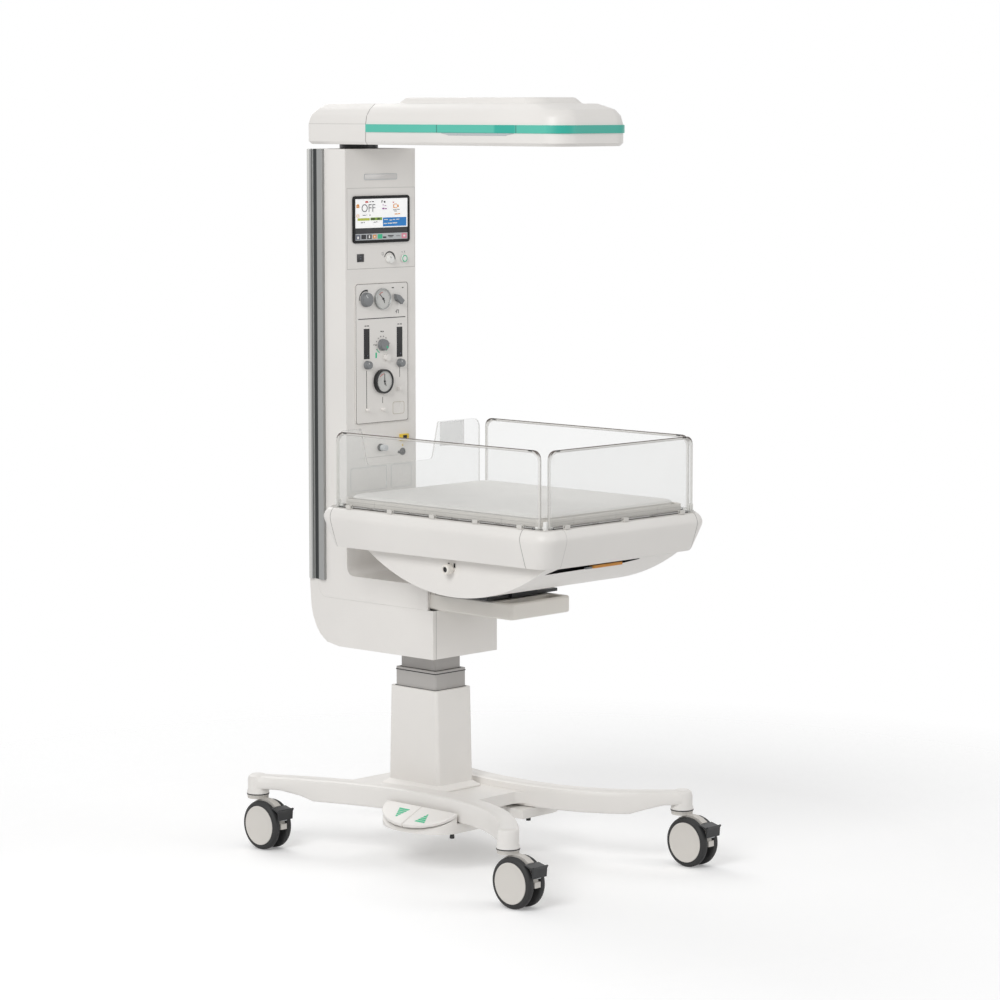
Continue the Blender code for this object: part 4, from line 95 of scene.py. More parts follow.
class Paint:
    def __init__(self, name, roughness=0.4, metallic=0.0, **constants):
        self.material = bpy.data.materials.new(name)
        self.material.use_nodes = True
        self.tree = self.material.node_tree
        self.shader = self.tree.nodes["Principled BSDF"]
        self.shader.inputs["Roughness"].default_value = roughness
        self.shader.inputs["Metallic"].default_value = metallic
        for key, value in constants.items():
            self.shader.inputs[key.replace("_", " ")].default_value = value
        self.place = self.node("ShaderNodeTexCoord").outputs["Object"]

    def feed(self, target, value):
        if isinstance(value, Value):
            value = value.socket
        if isinstance(value, bpy.types.NodeSocket):
            self.tree.links.new(value, target)
        else:
            target.default_value = value

    def node(self, kind, feeds=None, **settings):
        made = self.tree.nodes.new(kind)
        for key, value in settings.items():
            setattr(made, key, value)
        for key, value in (feeds or {}).items():
            self.feed(made.inputs[key], value)
        return made

    def maths(self, operation, first, second=0.0, clamp=False):
        made = self.node("ShaderNodeMath", {0: first, 1: second}, operation=operation, use_clamp=clamp)
        return Value(self, made.outputs[0])

    def clamped(self, value):
        return self.maths("ADD", value, 0.0, clamp=True)

    def axis(self, letter):
        parts = self.node("ShaderNodeSeparateXYZ", {0: self.place})
        return Value(self, parts.outputs["XYZ".index(letter)])

    def mix(self, share, first, second):
        made = self.node("ShaderNodeMix", {0: share, 6: first, 7: second}, data_type="RGBA")
        return made.outputs[2]

    def noise(self, scale, detail=2.0, roughness=0.5, stretch=None):
        place = self.place
        if stretch:
            place = self.node("ShaderNodeVectorMath", {0: place, 1: stretch}, operation="MULTIPLY").outputs[0]
        made = self.node("ShaderNodeTexNoise", {"Vector": place, "Scale": scale, "Detail": detail,
                                                "Roughness": roughness})
        return Value(self, made.outputs[0])

    def band(self, value, middle, half, edge):
        # One near the middle, falling to nothing over the edge beyond half.
        return self.clamped((half + edge - abs(value - middle)) / edge)

    def bump(self, height, distance, strength=1.0):
        made = self.node("ShaderNodeBump", {"Height": height, "Distance": distance, "Strength": strength})
        self.feed(self.shader.inputs["Normal"], made.outputs[0])

    def finish(self, colour=None, roughness=None, **others):
        # Feeds the sockets that vary over the surface, and gives the material.
        for key, value in {"Base Color": colour, "Roughness": roughness, **others}.items():
            if value is not None:
                self.feed(self.shader.inputs[key], value)
        return self.material


def tone(red, green, blue, share=1.0):
    # An sRGB colour, 0 to 255, as the linear one that a socket takes.
    def linear(part):
        part = part / 255 * share
        return part / 12.92 if part <= 0.04045 else ((part + 0.055) / 1.055) ** 2.4
    return (linear(red), linear(green), linear(blue), 1.0)


plasticSizes = {"grainScale": 1400.0, "grainDepth": 0.00003, "cloudScale": 5.0, "cloud": 0.03, "wearScale": 45.0,
                "wear": 0.16, "seamHalf": 0.0005, "seamEdge": 0.0004, "seamDepth": 0.0006, "seamShare": 0.75,
                "seamShade": (90, 88, 85)}


def plastic(name, shade, roughness=0.42, seams=(), grain=1.0, **constants):
    # A moulded plastic or paint: faint clouds, scuffs in the gloss, a fine grain, and dark seam lines. A seam is
    # its axis, its place on it, its limits along other axes and, where it is faint, its strength.
    p = plasticSizes
    paint = Paint(name, roughness, **constants)
    clouds = paint.noise(p["cloudScale"], 3.0)
    base = paint.mix(clouds, tone(*shade, 1 - p["cloud"]), tone(*shade, 1 + p["cloud"] / 3))
    scuffs = paint.noise(p["wearScale"], 4.0, 0.6)
    height = paint.noise(p["grainScale"], 2.0)
    lines = None
    for letter, middle, limits, *strength in seams:
        line = paint.band(paint.axis(letter), middle, p["seamHalf"], p["seamEdge"])
        for other, least, most in limits:
            line = line * paint.band(paint.axis(other), (least + most) / 2, (most - least) / 2, p["seamEdge"])
        line = line * strength[0] if strength else line
        lines = line if lines is None else paint.clamped(lines + line)
    if lines is None:
        paint.bump(height, p["grainDepth"] * grain)
    else:
        base = paint.mix(lines * p["seamShare"], base, tone(*p["seamShade"]))
        paint.bump(height * (p["grainDepth"] / p["seamDepth"] * grain) - lines, p["seamDepth"])
    return paint.finish(base, scuffs * p["wear"] + (roughness - p["wear"] / 2))


drawnLines = {"scale": 900.0, "detail": 3.0, "roughness": 0.7, "stretch": (1.0, 1.0, 0.02)}
drawnWear = 0.2


def metal(name, shade, roughness=0.35, metallic=1.0):
    # Drawn metal: fine lines along its height.
    paint = Paint(name, roughness, metallic)
    lines = paint.noise(**drawnLines)
    paint.bump(lines, 0.00002)
    return paint.finish(paint.mix(lines, tone(*shade, 0.92), tone(*shade, 1.04)),
                        lines * drawnWear + (roughness - drawnWear / 2))


smearLines = {"scale": 9.0, "detail": 5.0, "roughness": 0.6}
smear = {"gloss": 0.06, "alpha": 0.03}


def clearPlastic(name, shade, alpha, roughness=0.05):
    paint = Paint(name, roughness, 0.0, IOR=1.49)
    smears = paint.noise(**smearLines)
    return paint.finish(paint.mix(smears, tone(*shade, 0.97), tone(*shade, 1.02)), smears * smear["gloss"] + roughness,
                        Alpha=smears * smear["alpha"] + alpha)


# The rim of a clear panel, with a painted highlight and painted shade lines. A line in it is its depth in from the
# edge, half its width and its soft edge.
rim = {"top": 1.0845, "turn": 0.030, "topShare": 0.55, "topFade": 0.006, "alpha": 0.10,
       "bead": (0.0032, 0.0022, 0.0006), "inner": (0.0060, 0.0003, 0.0003), "outer": (0.0, 0.0006, 0.0004),
       "dark": (0.0, 0.0014, 0.0004), "bitsAlong": (-0.0020, 0.0060, 0.0010), "bits": (0.0010, 0.0024, 0.0004)}


def rimmedSheet(name, letter, middle, half):
    # A clear panel with a painted highlight inside its rim, painted shade lines along the rim, a dark painted shade
    # line on its top and black painted shade where its corners turn.
    paint = Paint(name, 0.08, IOR=1.49)
    along = abs(paint.axis(letter) - middle) - (half - rim["turn"])
    above = paint.axis("Z") - (rim["top"] - rim["turn"])
    outAlong, outAbove = paint.maths("MAXIMUM", along, 0.0), paint.maths("MAXIMUM", above, 0.0)
    depth = rim["turn"] - paint.maths("SQRT", outAlong * outAlong + outAbove * outAbove)
    atTop = paint.clamped((above - rim["turn"] * rim["topShare"]) / rim["topFade"])
    sideFade = atTop * 0.4 + 0.6
    # A painted highlight inside the rim, painted shade lines along it, painted dark shade on top and black painted
    # shade at the turning corners.
    bead = paint.band(depth, *rim["bead"])
    inner = paint.band(depth, *rim["inner"]) * sideFade
    outer = paint.band(depth, *rim["outer"]) * sideFade
    dark = paint.band(depth, *rim["dark"]) * atTop
    bits = paint.band(along, *rim["bitsAlong"]) * paint.band(depth, *rim["bits"]) * atTop
    smears = paint.noise(**smearLines)
    shade = paint.mix(smears, tone(218, 220, 218), tone(226, 227, 225))
    # Lays the painted highlight and painted shade colours over the sheet, in turn.
    for share, over in ((bead, (228, 226, 221)), (paint.clamped(inner + outer * 0.9), (146, 141, 136)),
                        (dark, (88, 76, 70)), (bits, (30, 28, 27))):
        shade = paint.mix(share, shade, tone(*over))
    alpha = smears * smear["alpha"] + bead * 0.42 + inner * 0.5 + outer * 0.5 + dark * 0.8 + bits * 0.9 + rim["alpha"]
    return paint.finish(shade, smears * smear["gloss"] + 0.06, Alpha=paint.clamped(alpha))


# The rail's painted channel shade and painted lip highlight, each a middle, half width and soft edge across y.
rail = {"metallic": 0.55, "channel": (0.4272, 0.0080, 0.0018), "lip": (0.4500, 0.0045, 0.0015), "depth": 0.0015}


def railPaint():
    # The accessory rail: drawn metal with painted shade in a channel along its middle and a painted highlight on its
    # rear lip.
    paint = Paint("railSlot", 0.4, rail["metallic"])
    lines = paint.noise(**drawnLines)
    back = paint.axis("Y")
    channel = paint.band(back, *rail["channel"])
    shade = paint.mix(lines, tone(150, 151, 150), tone(166, 167, 165))
    # Painted highlight on the rear lip.
    shade = paint.mix(paint.band(back, *rail["lip"]), shade, tone(206, 206, 203))
    paint.bump(lines * 0.02 - channel, rail["depth"])
    return paint.finish(paint.mix(channel, shade, tone(38, 41, 41)), lines * drawnWear + channel * 0.2 + 0.3,
                        Metallic=paint.clamped(rail["metallic"] - channel * rail["metallic"]))


def rubber(name, shade):
    # Dusty rubber.
    paint = Paint(name, 0.7)
    dust = paint.noise(60.0, 5.0, 0.65)
    paint.bump(paint.noise(500.0, 3.0), 0.00008)
    dusty = [part + more for part, more in zip(shade, (12, 12, 11))]
    return paint.finish(paint.mix(dust, tone(*shade, 0.9), tone(*dusty)), dust * 0.3 + 0.5)


cloth = {"knit": 2600.0, "knitShare": 0.02, "rippleScale": 11.0, "foldScale": 34.0, "foldShare": 0.3,
         "depth": 0.0035, "strength": 0.5}


def coverCloth(name, shade):
    # Coated mattress cloth: a fine knit under the coating and slack ripples.
    paint = Paint(name, 0.55, Sheen_Weight=0.15)
    knit = [paint.maths("SINE", way * cloth["knit"]) for way in (paint.axis("X") + paint.axis("Y"),
                                                                 paint.axis("X") - paint.axis("Y"))]
    ripples = paint.noise(cloth["rippleScale"], 3.0, 0.55)
    folds = paint.noise(cloth["foldScale"], 3.0, 0.5)
    paint.bump(knit[0] * knit[1] * cloth["knitShare"] + ripples + folds * cloth["foldShare"], cloth["depth"],
               cloth["strength"])
    return paint.finish(paint.mix(ripples, tone(*shade, 0.95), tone(*shade, 1.02)), folds * 0.15 + 0.5)


band = {"deepMiddle": (-0.2345, 0.0300, 0.0080), "deepFrom": -0.3655, "deepFade": 0.020, "seams": (-0.0061, -0.2721),
        "seam": (0.0008, 0.0005), "depth": 0.0006}


def stripePaint():
    # The canopy band's two seams, a darker green patch between them, and painted shade towards the front, over its
    # front corners and front face.
    paint = Paint("stripeGreen", 0.36)
    back = paint.axis("Y")
    clouds = paint.noise(6.0, 3.0)
    # Painted shade over the front of the band.
    front = paint.clamped((band["deepFrom"] - back) / band["deepFade"])
    deep = paint.clamped(paint.band(back, *band["deepMiddle"]) + front)
    shade = paint.mix(deep, paint.mix(clouds, tone(80, 187, 167), tone(92, 195, 176)), tone(44, 172, 154))
    first, second = [paint.band(back, at, *band["seam"]) for at in band["seams"]]
    seams = paint.clamped(first + second)
    paint.bump(seams * -1.0, band["depth"])
    return paint.finish(paint.mix(seams * 0.8, shade, tone(24, 78, 70)), clouds * 0.1 + 0.32)


whiteShade = (234, 231, 227)
footFace = ("Y", -0.60, -0.46)
columnFace = ("Y", 0.30, 0.345)
housingFace = ("Y", -0.02, 0.05)
plateX, plateZ = ("X", -0.1175, 0.1215), ("Z", 1.476, 1.679)      # the plate round the display
trayFace = ("Z", 0.899, 0.917)
skirtSeams = [("Y", -0.4355, []), ("Y", 0.2095, []), ("X", 0.2490, [footFace]), ("X", -0.2215, [footFace], 0.4)]
casingSeams = [("Z", plateZ[2], [plateX, columnFace], 0.4), ("Z", plateZ[1], [plateX, columnFace], 0.5),
               ("X", plateX[1], [plateZ, columnFace], 0.4), ("X", plateX[2], [plateZ, columnFace], 0.4),
               ("Z", 0.995, [("X", -0.077, 0.057), columnFace], 0.5)]
trayTicks = ([("Y", y, [trayFace], 0.5) for y in (0.0937, -0.0822, -0.3379)]
             + [("X", x, [trayFace], 0.5) for x in (-0.150, 0.0, 0.150)] + [("Z", 0.9105, [], 0.35)])
paints = {
    # The record's own finishes
    "enamel": plastic("castingPaint", (233, 230, 226), 0.38, grain=1.6),
    "white_plastic": plastic("whiteShell", whiteShade),
    "light_grey_plastic": plastic("greyShell", (188, 185, 181), 0.45),
    "mid_grey_plastic": plastic("knobGrey", (128, 130, 132), 0.4),
    "black_plastic": plastic("blackShell", (26, 27, 29), 0.36),
    "beige_plastic": plastic("beigeShell", (203, 196, 184), 0.45),
    "green_plastic": plastic("greenBand", (84, 188, 168), 0.4),
    "orange_plastic": plastic("orangeShell", (222, 148, 52), 0.4),
    "tyre": rubber("tyreRubber", (34, 34, 35)),
    "steel": metal("steelParts", (170, 170, 168)),
    "aluminium": metal("anodisedRail", (178, 180, 179), 0.4, metallic=0.7),
    "quartz": plastic("quartzTube", (205, 196, 186), 0.2),
    "mattress_cover": coverCloth("coatedCloth", (231, 229, 225)),
    "clear_acrylic": clearPlastic("clearSheet", (226, 233, 232), 0.14),
    # Shells and other pieces with a look of their own
    "skirt": plastic("skirtShell", whiteShade, seams=skirtSeams),
    "hood": plastic("hoodShell", whiteShade, seams=[("Y", 0.2446, [])]),
    "casing": plastic("casingShell", whiteShade, seams=casingSeams),
    "cap": plastic("capShell", whiteShade, seams=[("Y", 0.2446, []), ("Z", 1.8405, [], 0.35)]),
    "housing": plastic("housingShell", whiteShade, seams=[("X", x, [housingFace], 0.7) for x in (-0.1035, 0.1150)]),
    "tray": plastic("trayShell", (232, 228, 221), seams=trayTicks),
    "stripe": stripePaint(),
    "rail": railPaint(),
    "sideRim": rimmedSheet("sideSheet", "Y", -0.133, 0.3455),
    "footRim": rimmedSheet("footSheet", "X", 0.0, 0.2585),
    "bezel": plastic("bezelShell", (12, 12, 13), 0.3, Specular_IOR_Level=0.2),
    "tube": plastic("tubePaint", (178, 175, 172), 0.42),
    "arm": plastic("armShell", (233, 229, 222)),
    "face": plastic("wheelFace", (216, 212, 206), 0.45),
    "clip": plastic("clipShell", (214, 211, 206), 0.4),
    "casterGrey": plastic("casterHousing", (206, 202, 196), 0.45),
    "knob": plastic("knobShell", (128, 130, 132), 0.38),
    "lens": plastic("lampLens", (216, 214, 212), 0.2),
    "dark": plastic("darkRecess", (22, 22, 23), 0.6),
    "brown": plastic("grooveSeal", (74, 64, 60), 0.55),
    "edge": clearPlastic("sheetEdge", (196, 195, 191), 0.55, 0.15),
    "frosted": clearPlastic("frostedPad", (208, 208, 206), 0.28, 0.3),
    "sheet": clearPlastic("clearPanel", (222, 224, 222), 0.10),
    # Painted shade for the top faces of the clear sheets.
    "topEdge": clearPlastic("sheetTopEdge", (118, 108, 103), 0.86, 0.2),
    # Printing and the display
    "ink": plastic("inkBlack", (30, 31, 33), 0.5),
    "paper": plastic("dialWhite", (238, 238, 235), 0.5),
    "dialGrey": plastic("dialGrey", (206, 206, 203), 0.4),
    "yellow": plastic("yellowSocket", (232, 198, 60), 0.4),
    "red": plastic("redMark", (205, 70, 60), 0.45),
    "blue": plastic("blueMark", (8, 126, 204), 0.45),
    "violet": plastic("violetMark", (150, 80, 150), 0.45),
    "pink": plastic("pinkMark", (226, 140, 160), 0.45),
    "lime": plastic("limeMark", (190, 200, 70), 0.45),
    "teal": plastic("tealMark", (50, 190, 140), 0.45),
    "orange": plastic("orangeMark", (232, 150, 50), 0.45),
    "slate": plastic("slateMark", (96, 100, 116), 0.4),
    "leaf": plastic("leafMark", (134, 172, 46), 0.4),
    "screenGrey": plastic("screenGrey", (188, 192, 194), 0.3),
    "screenPaper": plastic("screenLit", (246, 246, 246), 0.3, Emission_Color=(1.0, 1.0, 1.0, 1.0),
                           Emission_Strength=0.20),
}
print("materials done")


# Mesh helpers

def linked(name, data):
    made = bpy.data.objects.new(name, data)
    bpy.context.scene.collection.objects.link(made)
    return made


def meshOf(name, bm):
    mesh = bpy.data.meshes.new(name)
    bm.to_mesh(mesh)
    bm.free()
    return mesh


def finalMesh(owner):
    bpy.context.view_layer.update()
    return bpy.data.meshes.new_from_object(owner.evaluated_get(bpy.context.evaluated_depsgraph_get()))


def moved(bm, matrix):
    bmesh.ops.transform(bm, matrix=matrix, verts=bm.verts[:])
    return bm


def grownVerts(bm, faces):
    # Extrudes the faces and gives the new vertices.
    found = bmesh.ops.extrude_face_region(bm, geom=faces)["geom"]
    return [v for v in found if isinstance(v, bmesh.types.BMVert)]


def slotOf(node):
    return frame["nodes"][node].data.materials[0].name.split(".")[0]


def pieceName(node, ending=""):
    first, *others = node.split("_")
    return first + "".join(part.capitalize() for part in others) + ending


def evenShading(made):
    shading = made.modifiers.new("evenShading", "WEIGHTED_NORMAL")
    shading.keep_sharp = True
    shading.weight = 100
    return made


def put(name, bm, body, slot, look=None, replaced=(), angle=smoothAngle, local=True, shell=False):
    # Makes a finished piece of the mesh, in the row frame, riding on its body.
    if local:
        bmesh.ops.translate(bm, vec=(0.0, liftY, 0.0), verts=bm.verts[:])
    bmesh.ops.recalc_face_normals(bm, faces=bm.faces[:])
    mesh = meshOf(name, bm)
    made = linked(name, mesh)
    mesh.materials.append(paints[look or slot])
    mesh.shade_smooth()
    mesh.set_sharp_from_angle(angle=angle)
    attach(made, body)
    if replaced:
        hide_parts(*replaced)
    return evenShading(made) if shell else made


def mark(name, bm, look=None, slot="black_plastic"):
    # A printed mark or small fitting of the upper body.
    return put(name, bm, "upper", slot, look)


def bevelSharp(bm, width, segments=3, angle=radians(30), keep=None):
    edges = [e for e in bm.edges if len(e.link_faces) == 2 and e.calc_face_angle(0.0) > angle
             and (keep is None or keep(e))]
    bmesh.ops.bevel(bm, geom=edges, offset=width, offset_type="OFFSET", segments=segments, profile=0.5,
                    affect="EDGES", material=-1, clamp_overlap=True)


def copied(node):
    bm = bmesh.new()
    bm.from_mesh(frame["nodes"][node].data)
    bmesh.ops.remove_doubles(bm, verts=bm.verts[:], dist=0.00002)
    bmesh.ops.dissolve_limit(bm, angle_limit=radians(0.5), verts=bm.verts[:], edges=bm.edges[:])
    return bm


def skinned(node, bm, look):
    # The finished copy of a CAD node, in its place.
    return put(pieceName(node, "Skin"), bm, frame["nodes"][node]["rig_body"], slotOf(node), look, (node,),
               local=False, shell=True)


def refined(node, width, segments=3, look=None, angle=30):
    # A copy of a CAD node with its sharp edges rounded.
    bm = copied(node)
    bevelSharp(bm, width, segments, radians(angle))
    return skinned(node, bm, look)


def boxMatrix(z, x0, x1, y0, y1):
    # Takes the unit square about the origin to the box at height z.
    return (Matrix.Translation(((x0 + x1) / 2, (y0 + y1) / 2, z))
            @ Matrix.Diagonal((x1 - x0, y1 - y0, 1.0, 1.0)))


def sheet(box, front=0.0, rear=0.0, segments=8):
    # A flat face at the box's height with rounded corners.
    bm = bmesh.new()
    bmesh.ops.create_grid(bm, x_segments=1, y_segments=1, size=0.5)
    moved(bm, boxMatrix(*box))
    middle = (box[3] + box[4]) / 2
    for radius, corners in ((front, [v for v in bm.verts if v.co.y < middle]),
                            (rear, [v for v in bm.verts if v.co.y > middle])):
        if radius:
            bmesh.ops.bevel(bm, geom=corners, offset=radius, offset_type="OFFSET", segments=segments,
                            profile=0.5, affect="VERTICES", material=-1)
    return bm


def climb(bm, face, before, after, keep=False):
    # Extrudes the face of one box to the next; the old face stays only as the form's end.
    found = bmesh.ops.extrude_face_region(bm, geom=[face])["geom"]
    if face.is_valid and not keep:
        bmesh.ops.delete(bm, geom=[face], context="FACES_ONLY")
    verts = [v for v in found if isinstance(v, bmesh.types.BMVert)]
    bmesh.ops.transform(bm, matrix=boxMatrix(*after) @ boxMatrix(*before).inverted(), verts=verts)
    return [f for f in found if isinstance(f, bmesh.types.BMFace)][0]


def stacked(boxes, front=0.0, rear=0.0, segments=8):
    # A closed form through boxes of (z, x0, x1, y0, y1), with its upright corners rounded.
    bm = sheet(boxes[0], front, rear, segments)
    face = bm.faces[:][0]
    for at, (before, after) in enumerate(zip(boxes, boxes[1:])):
        face = climb(bm, face, before, after, at == 0)
    return bm


def hoop(boxes, front=0.0, rear=0.0, segments=8):
    # A closed band through four boxes: up its outside, over its top and down its inside.
    bm = stacked(boxes, front, rear, segments)
    ends = sorted(bm.faces, key=lambda f: f.calc_area())[-2:]
    bmesh.ops.delete(bm, geom=ends, context="FACES_ONLY")
    bmesh.ops.bridge_loops(bm, edges=[e for e in bm.edges if e.is_boundary])
    bmesh.ops.recalc_face_normals(bm, faces=bm.faces[:])
    return bm


def even(z, half, y0, y1):
    return (z, -half, half, y0, y1)


def evenHoop(low, high, outer, inner, *corners):
    # A hoop of even boxes between two heights.
    return hoop([even(low, *outer), even(high, *outer), even(high, *inner), even(low, *inner)], *corners)


def merged(bm, fresh):
    if bm is None:
        return fresh
    scratch = meshOf("scratch", fresh)
    bm.from_mesh(scratch)
    bpy.data.meshes.remove(scratch)
    return bm


def block(x0, x1, y0, y1, z0, z1, width=0.0, segments=2, bm=None):
    # A box with softened edges, added to a mesh or on its own.
    fresh = stacked([(z0, x0, x1, y0, y1), (z1, x0, x1, y0, y1)])
    bmesh.ops.recalc_face_normals(fresh, faces=fresh.faces[:])
    if width:
        bevelSharp(fresh, width, segments)
    return merged(bm, fresh)


def turned(profile, place, steps=48, bm=None):
    # Spins (radius, height) points about the z axis of the place matrix.
    fresh = bmesh.new()
    verts = [fresh.verts.new((radius, 0.0, height)) for radius, height in profile]
    for pair in zip(verts, verts[1:]):
        fresh.edges.new(pair)
    bmesh.ops.spin(fresh, geom=fresh.verts[:] + fresh.edges[:], cent=(0, 0, 0), axis=(0, 0, 1), dvec=(0, 0, 0),
                   angle=2 * pi, steps=steps, use_merge=True, use_duplicate=False)
    bmesh.ops.remove_doubles(fresh, verts=fresh.verts[:], dist=0.000005)
    bmesh.ops.recalc_face_normals(fresh, faces=fresh.faces[:])
    return merged(bm, moved(fresh, place))


def disc(radius, low, high, place, steps=24, bm=None):
    return turned([(0.0, low), (radius, low), (radius, high), (0.0, high)], place, steps, bm)


def facing(x, y, z):
    # A place on a surface that faces the foot end, its z axis outwards.
    return Matrix.Translation((x, y, z)) @ toFront


tenth = 10000       # a metre in the tenths of a millimetre that flat marks are given in


def bars(areas, y, thick, bm=None):
    # Flat marks facing the foot end; an area is x0, x1, z0, z1 in tenths of a millimetre.
    for x0, x1, z0, z1 in areas:
        bm = block(x0 / tenth, x1 / tenth, y, y + thick, z0 / tenth, z1 / tenth, bm=bm)
    return bm


def rays(x, z, radius, length, width, angles, y, thick, bm=None):
    # Radial lines round a knob or gauge; angles are in degrees, clockwise from the top.
    for angle in angles:
        fresh = block(-width / 2, width / 2, y, y + thick, radius, radius + length)
        moved(fresh, Matrix.Translation((x, 0.0, z)) @ Matrix.Rotation(radians(angle), 4, "Y"))
        bm = merged(bm, fresh)
    return bm


def lettering(name, words, size, x, y, z, thick, look):
    # Generic words such as OFF, as a mesh facing the foot end.
    curve = bpy.data.curves.new(name, "FONT")
    curve.body = words
    curve.size = size
    curve.align_x = curve.align_y = "CENTER"
    curve.extrude = thick / 2
    holder = linked(name, curve)
    mesh = finalMesh(holder)
    bpy.data.objects.remove(holder)
    bm = bmesh.new()
    bm.from_mesh(mesh)
    bmesh.ops.remove_doubles(bm, verts=bm.verts[:], dist=0.000002)
    return mark(name, moved(bm, facing(x, y, z)), look)


# Canopy

canopy = {"half": 0.1305, "front": -0.5635, "seam": 0.0939, "capFront": 0.0942, "capRear": 0.3120,
          "bottom": 1.7895, "lip": 1.797, "stripeLow": 1.8205, "stripeHigh": 1.840, "cheek": 1.862,
          "edge": 1.877, "shoulder": 1.891, "top": 1.906, "lipDraw": 0.006, "cheekDraw": 0.0045,
          "edgeDraw": 0.0155, "shoulderDraw": 0.034, "shoulderFront": 0.060, "round": 0.058, "rearRound": 0.018,
          "cavityHalf": 0.119, "cavityFront": -0.552, "cavityRear": 0.0905, "cavityTop": 1.858,
          "plateauHalf": 0.090, "plateauFront": -0.458, "plateauRear": 0.018, "ramp": 0.020,
          "soft": 0.0035, "softAngle": radians(14), "seamSoft": 0.0012}


def softenTop(bm, reach, joint):
    # Rounds the level edges above the band as far back as reach, then the edges at the joint of hood and cap.
    c = canopy
    bevelSharp(bm, c["soft"], 3, c["softAngle"],
               lambda e: all(v.co.z > c["stripeHigh"] + 0.001 and v.co.y < reach for v in e.verts)
               and abs(e.verts[0].co.z - e.verts[1].co.z) < 0.0001)
    bevelSharp(bm, c["seamSoft"], 2, curvedAngle, lambda e: all(joint(v) for v in e.verts))


def hood():
    c = canopy
    half, front, rear = c["half"], c["front"], c["seam"]

    def ring(z, draw, frontDraw=None):
        return even(z, half - draw, front + (draw if frontDraw is None else frontDraw), rear)

    boxes = [ring(c["bottom"], c["lipDraw"]), ring(c["lip"], 0.0), ring(c["stripeLow"], 0.0),
             ring(c["stripeHigh"], 0.0), ring(c["cheek"], c["cheekDraw"]), ring(c["edge"], c["edgeDraw"]),
             ring(c["shoulder"], c["shoulderDraw"], c["shoulderFront"]),
             even(c["shoulder"], c["plateauHalf"], c["plateauFront"], c["plateauRear"]),
             even(c["top"], c["plateauHalf"] - 0.008, c["plateauFront"] + c["ramp"], c["plateauRear"] - c["ramp"])]
    bm = stacked(boxes, front=c["round"], segments=12)
    bmesh.ops.recalc_face_normals(bm, faces=bm.faces[:])
    belowFace = min(bm.faces, key=lambda f: f.calc_center_median().z)
    below = boxes[0]
    cavity = [even(c["bottom"], c["cavityHalf"], c["cavityFront"], c["cavityRear"]),
              even(c["cavityTop"], c["cavityHalf"] - 0.004, c["cavityFront"] + 0.01, c["cavityRear"] - 0.004)]
    for box in cavity:
        belowFace = climb(bm, belowFace, below, box)
        below = box
    softenTop(bm, rear - 0.001, lambda v: v.co.y > rear - 0.001)
    put("hoodShell", bm, "canopy", "white_plastic", "hood", ("canopy_hood",), shell=True)


def cap():
    c = canopy
    draws = {"bottom": "lipDraw", "lip": None, "stripeHigh": None, "cheek": "cheekDraw", "edge": "edgeDraw",
             "shoulder": "shoulderDraw"}
    boxes = []
    for level, name in draws.items():
        draw = c[name] if name else 0.0
        boxes.append(even(c[level], c["half"] - draw, c["capFront"], c["capRear"] - draw))
    bm = stacked(boxes, rear=c["rearRound"])
    bmesh.ops.recalc_face_normals(bm, faces=bm.faces[:])
    softenTop(bm, c["capRear"] + 0.001, lambda v: v.co.y < c["capFront"] + 0.001)
    put("capShell", bm, "canopy", "white_plastic", "cap", ("canopy_cap",), shell=True)


stripeSizes = {"proud": 0.0025, "wall": 0.006, "outerGap": 0.0010, "innerGap": 0.0030, "soft": 0.0008}


def stripe():
    c, s = canopy, stripeSizes
    outer = (c["half"] + s["proud"], c["front"] - s["proud"], c["seam"] - s["outerGap"])
    inner = (c["half"] - s["wall"], c["front"] + s["wall"], c["seam"] - s["innerGap"])
    bm = evenHoop(c["stripeLow"], c["stripeHigh"], outer, inner, c["round"] + s["proud"], 0.0, 12)
    bevelSharp(bm, s["soft"], 2, curvedAngle)
    put("stripeBand", bm, "canopy", "green_plastic", "stripe", ("canopy_stripe",), shell=True)


recessSizes = {"half": 0.1225, "depth": 0.0013, "high": 0.0065, "soft": 0.0012, "taper": 0.80, "y": -0.2915,
               "z": 1.8140}


def recess():
    # A grey patch painted as the shade of a shallow finger recess under the band on both long sides, narrower below;
    # it is a thin block, not a cut.
    r = recessSizes
    for side, sign in sides:
        bm = block(-r["half"], r["half"], -r["depth"], r["depth"], 0.0, r["high"], r["soft"])
        for vert in bm.verts:
            if vert.co.z < r["high"] / 2:
                vert.co.x *= r["taper"]
        moved(bm, Matrix.Translation((sign * canopy["half"], r["y"], r["z"])) @ Matrix.Rotation(radians(90), 4, "Z"))
        # The patch is painted grey as the recess's shade.
        put("fingerRecess" + side.capitalize(), bm, "canopy", "white_plastic", "screenGrey")


hood()
cap()
stripe()
recess()
refined("heater_grille", 0.0004, 1)
refined("heater_element", 0.001, 2)
refined("canopy_pivot", 0.001, 2)
print("canopy done")


# Column

def rounded(node, uprights, inner, width, segments=3, look=None, lean=0.006):
    # A refined copy whose upright corners, further out than inner, get a larger round than its other edges.
    def upright(e):
        first, second = [v.co for v in e.verts]
        return abs(first.z - second.z) > 0.02 and abs(first.x) > inner and (first.xy - second.xy).length < lean

    bm = copied(node)
    bevelSharp(bm, uprights, 6, radians(60), upright)
    bevelSharp(bm, width, segments, radians(35), lambda e: e.calc_length() > 0.004)
    return skinned(node, bm, look)


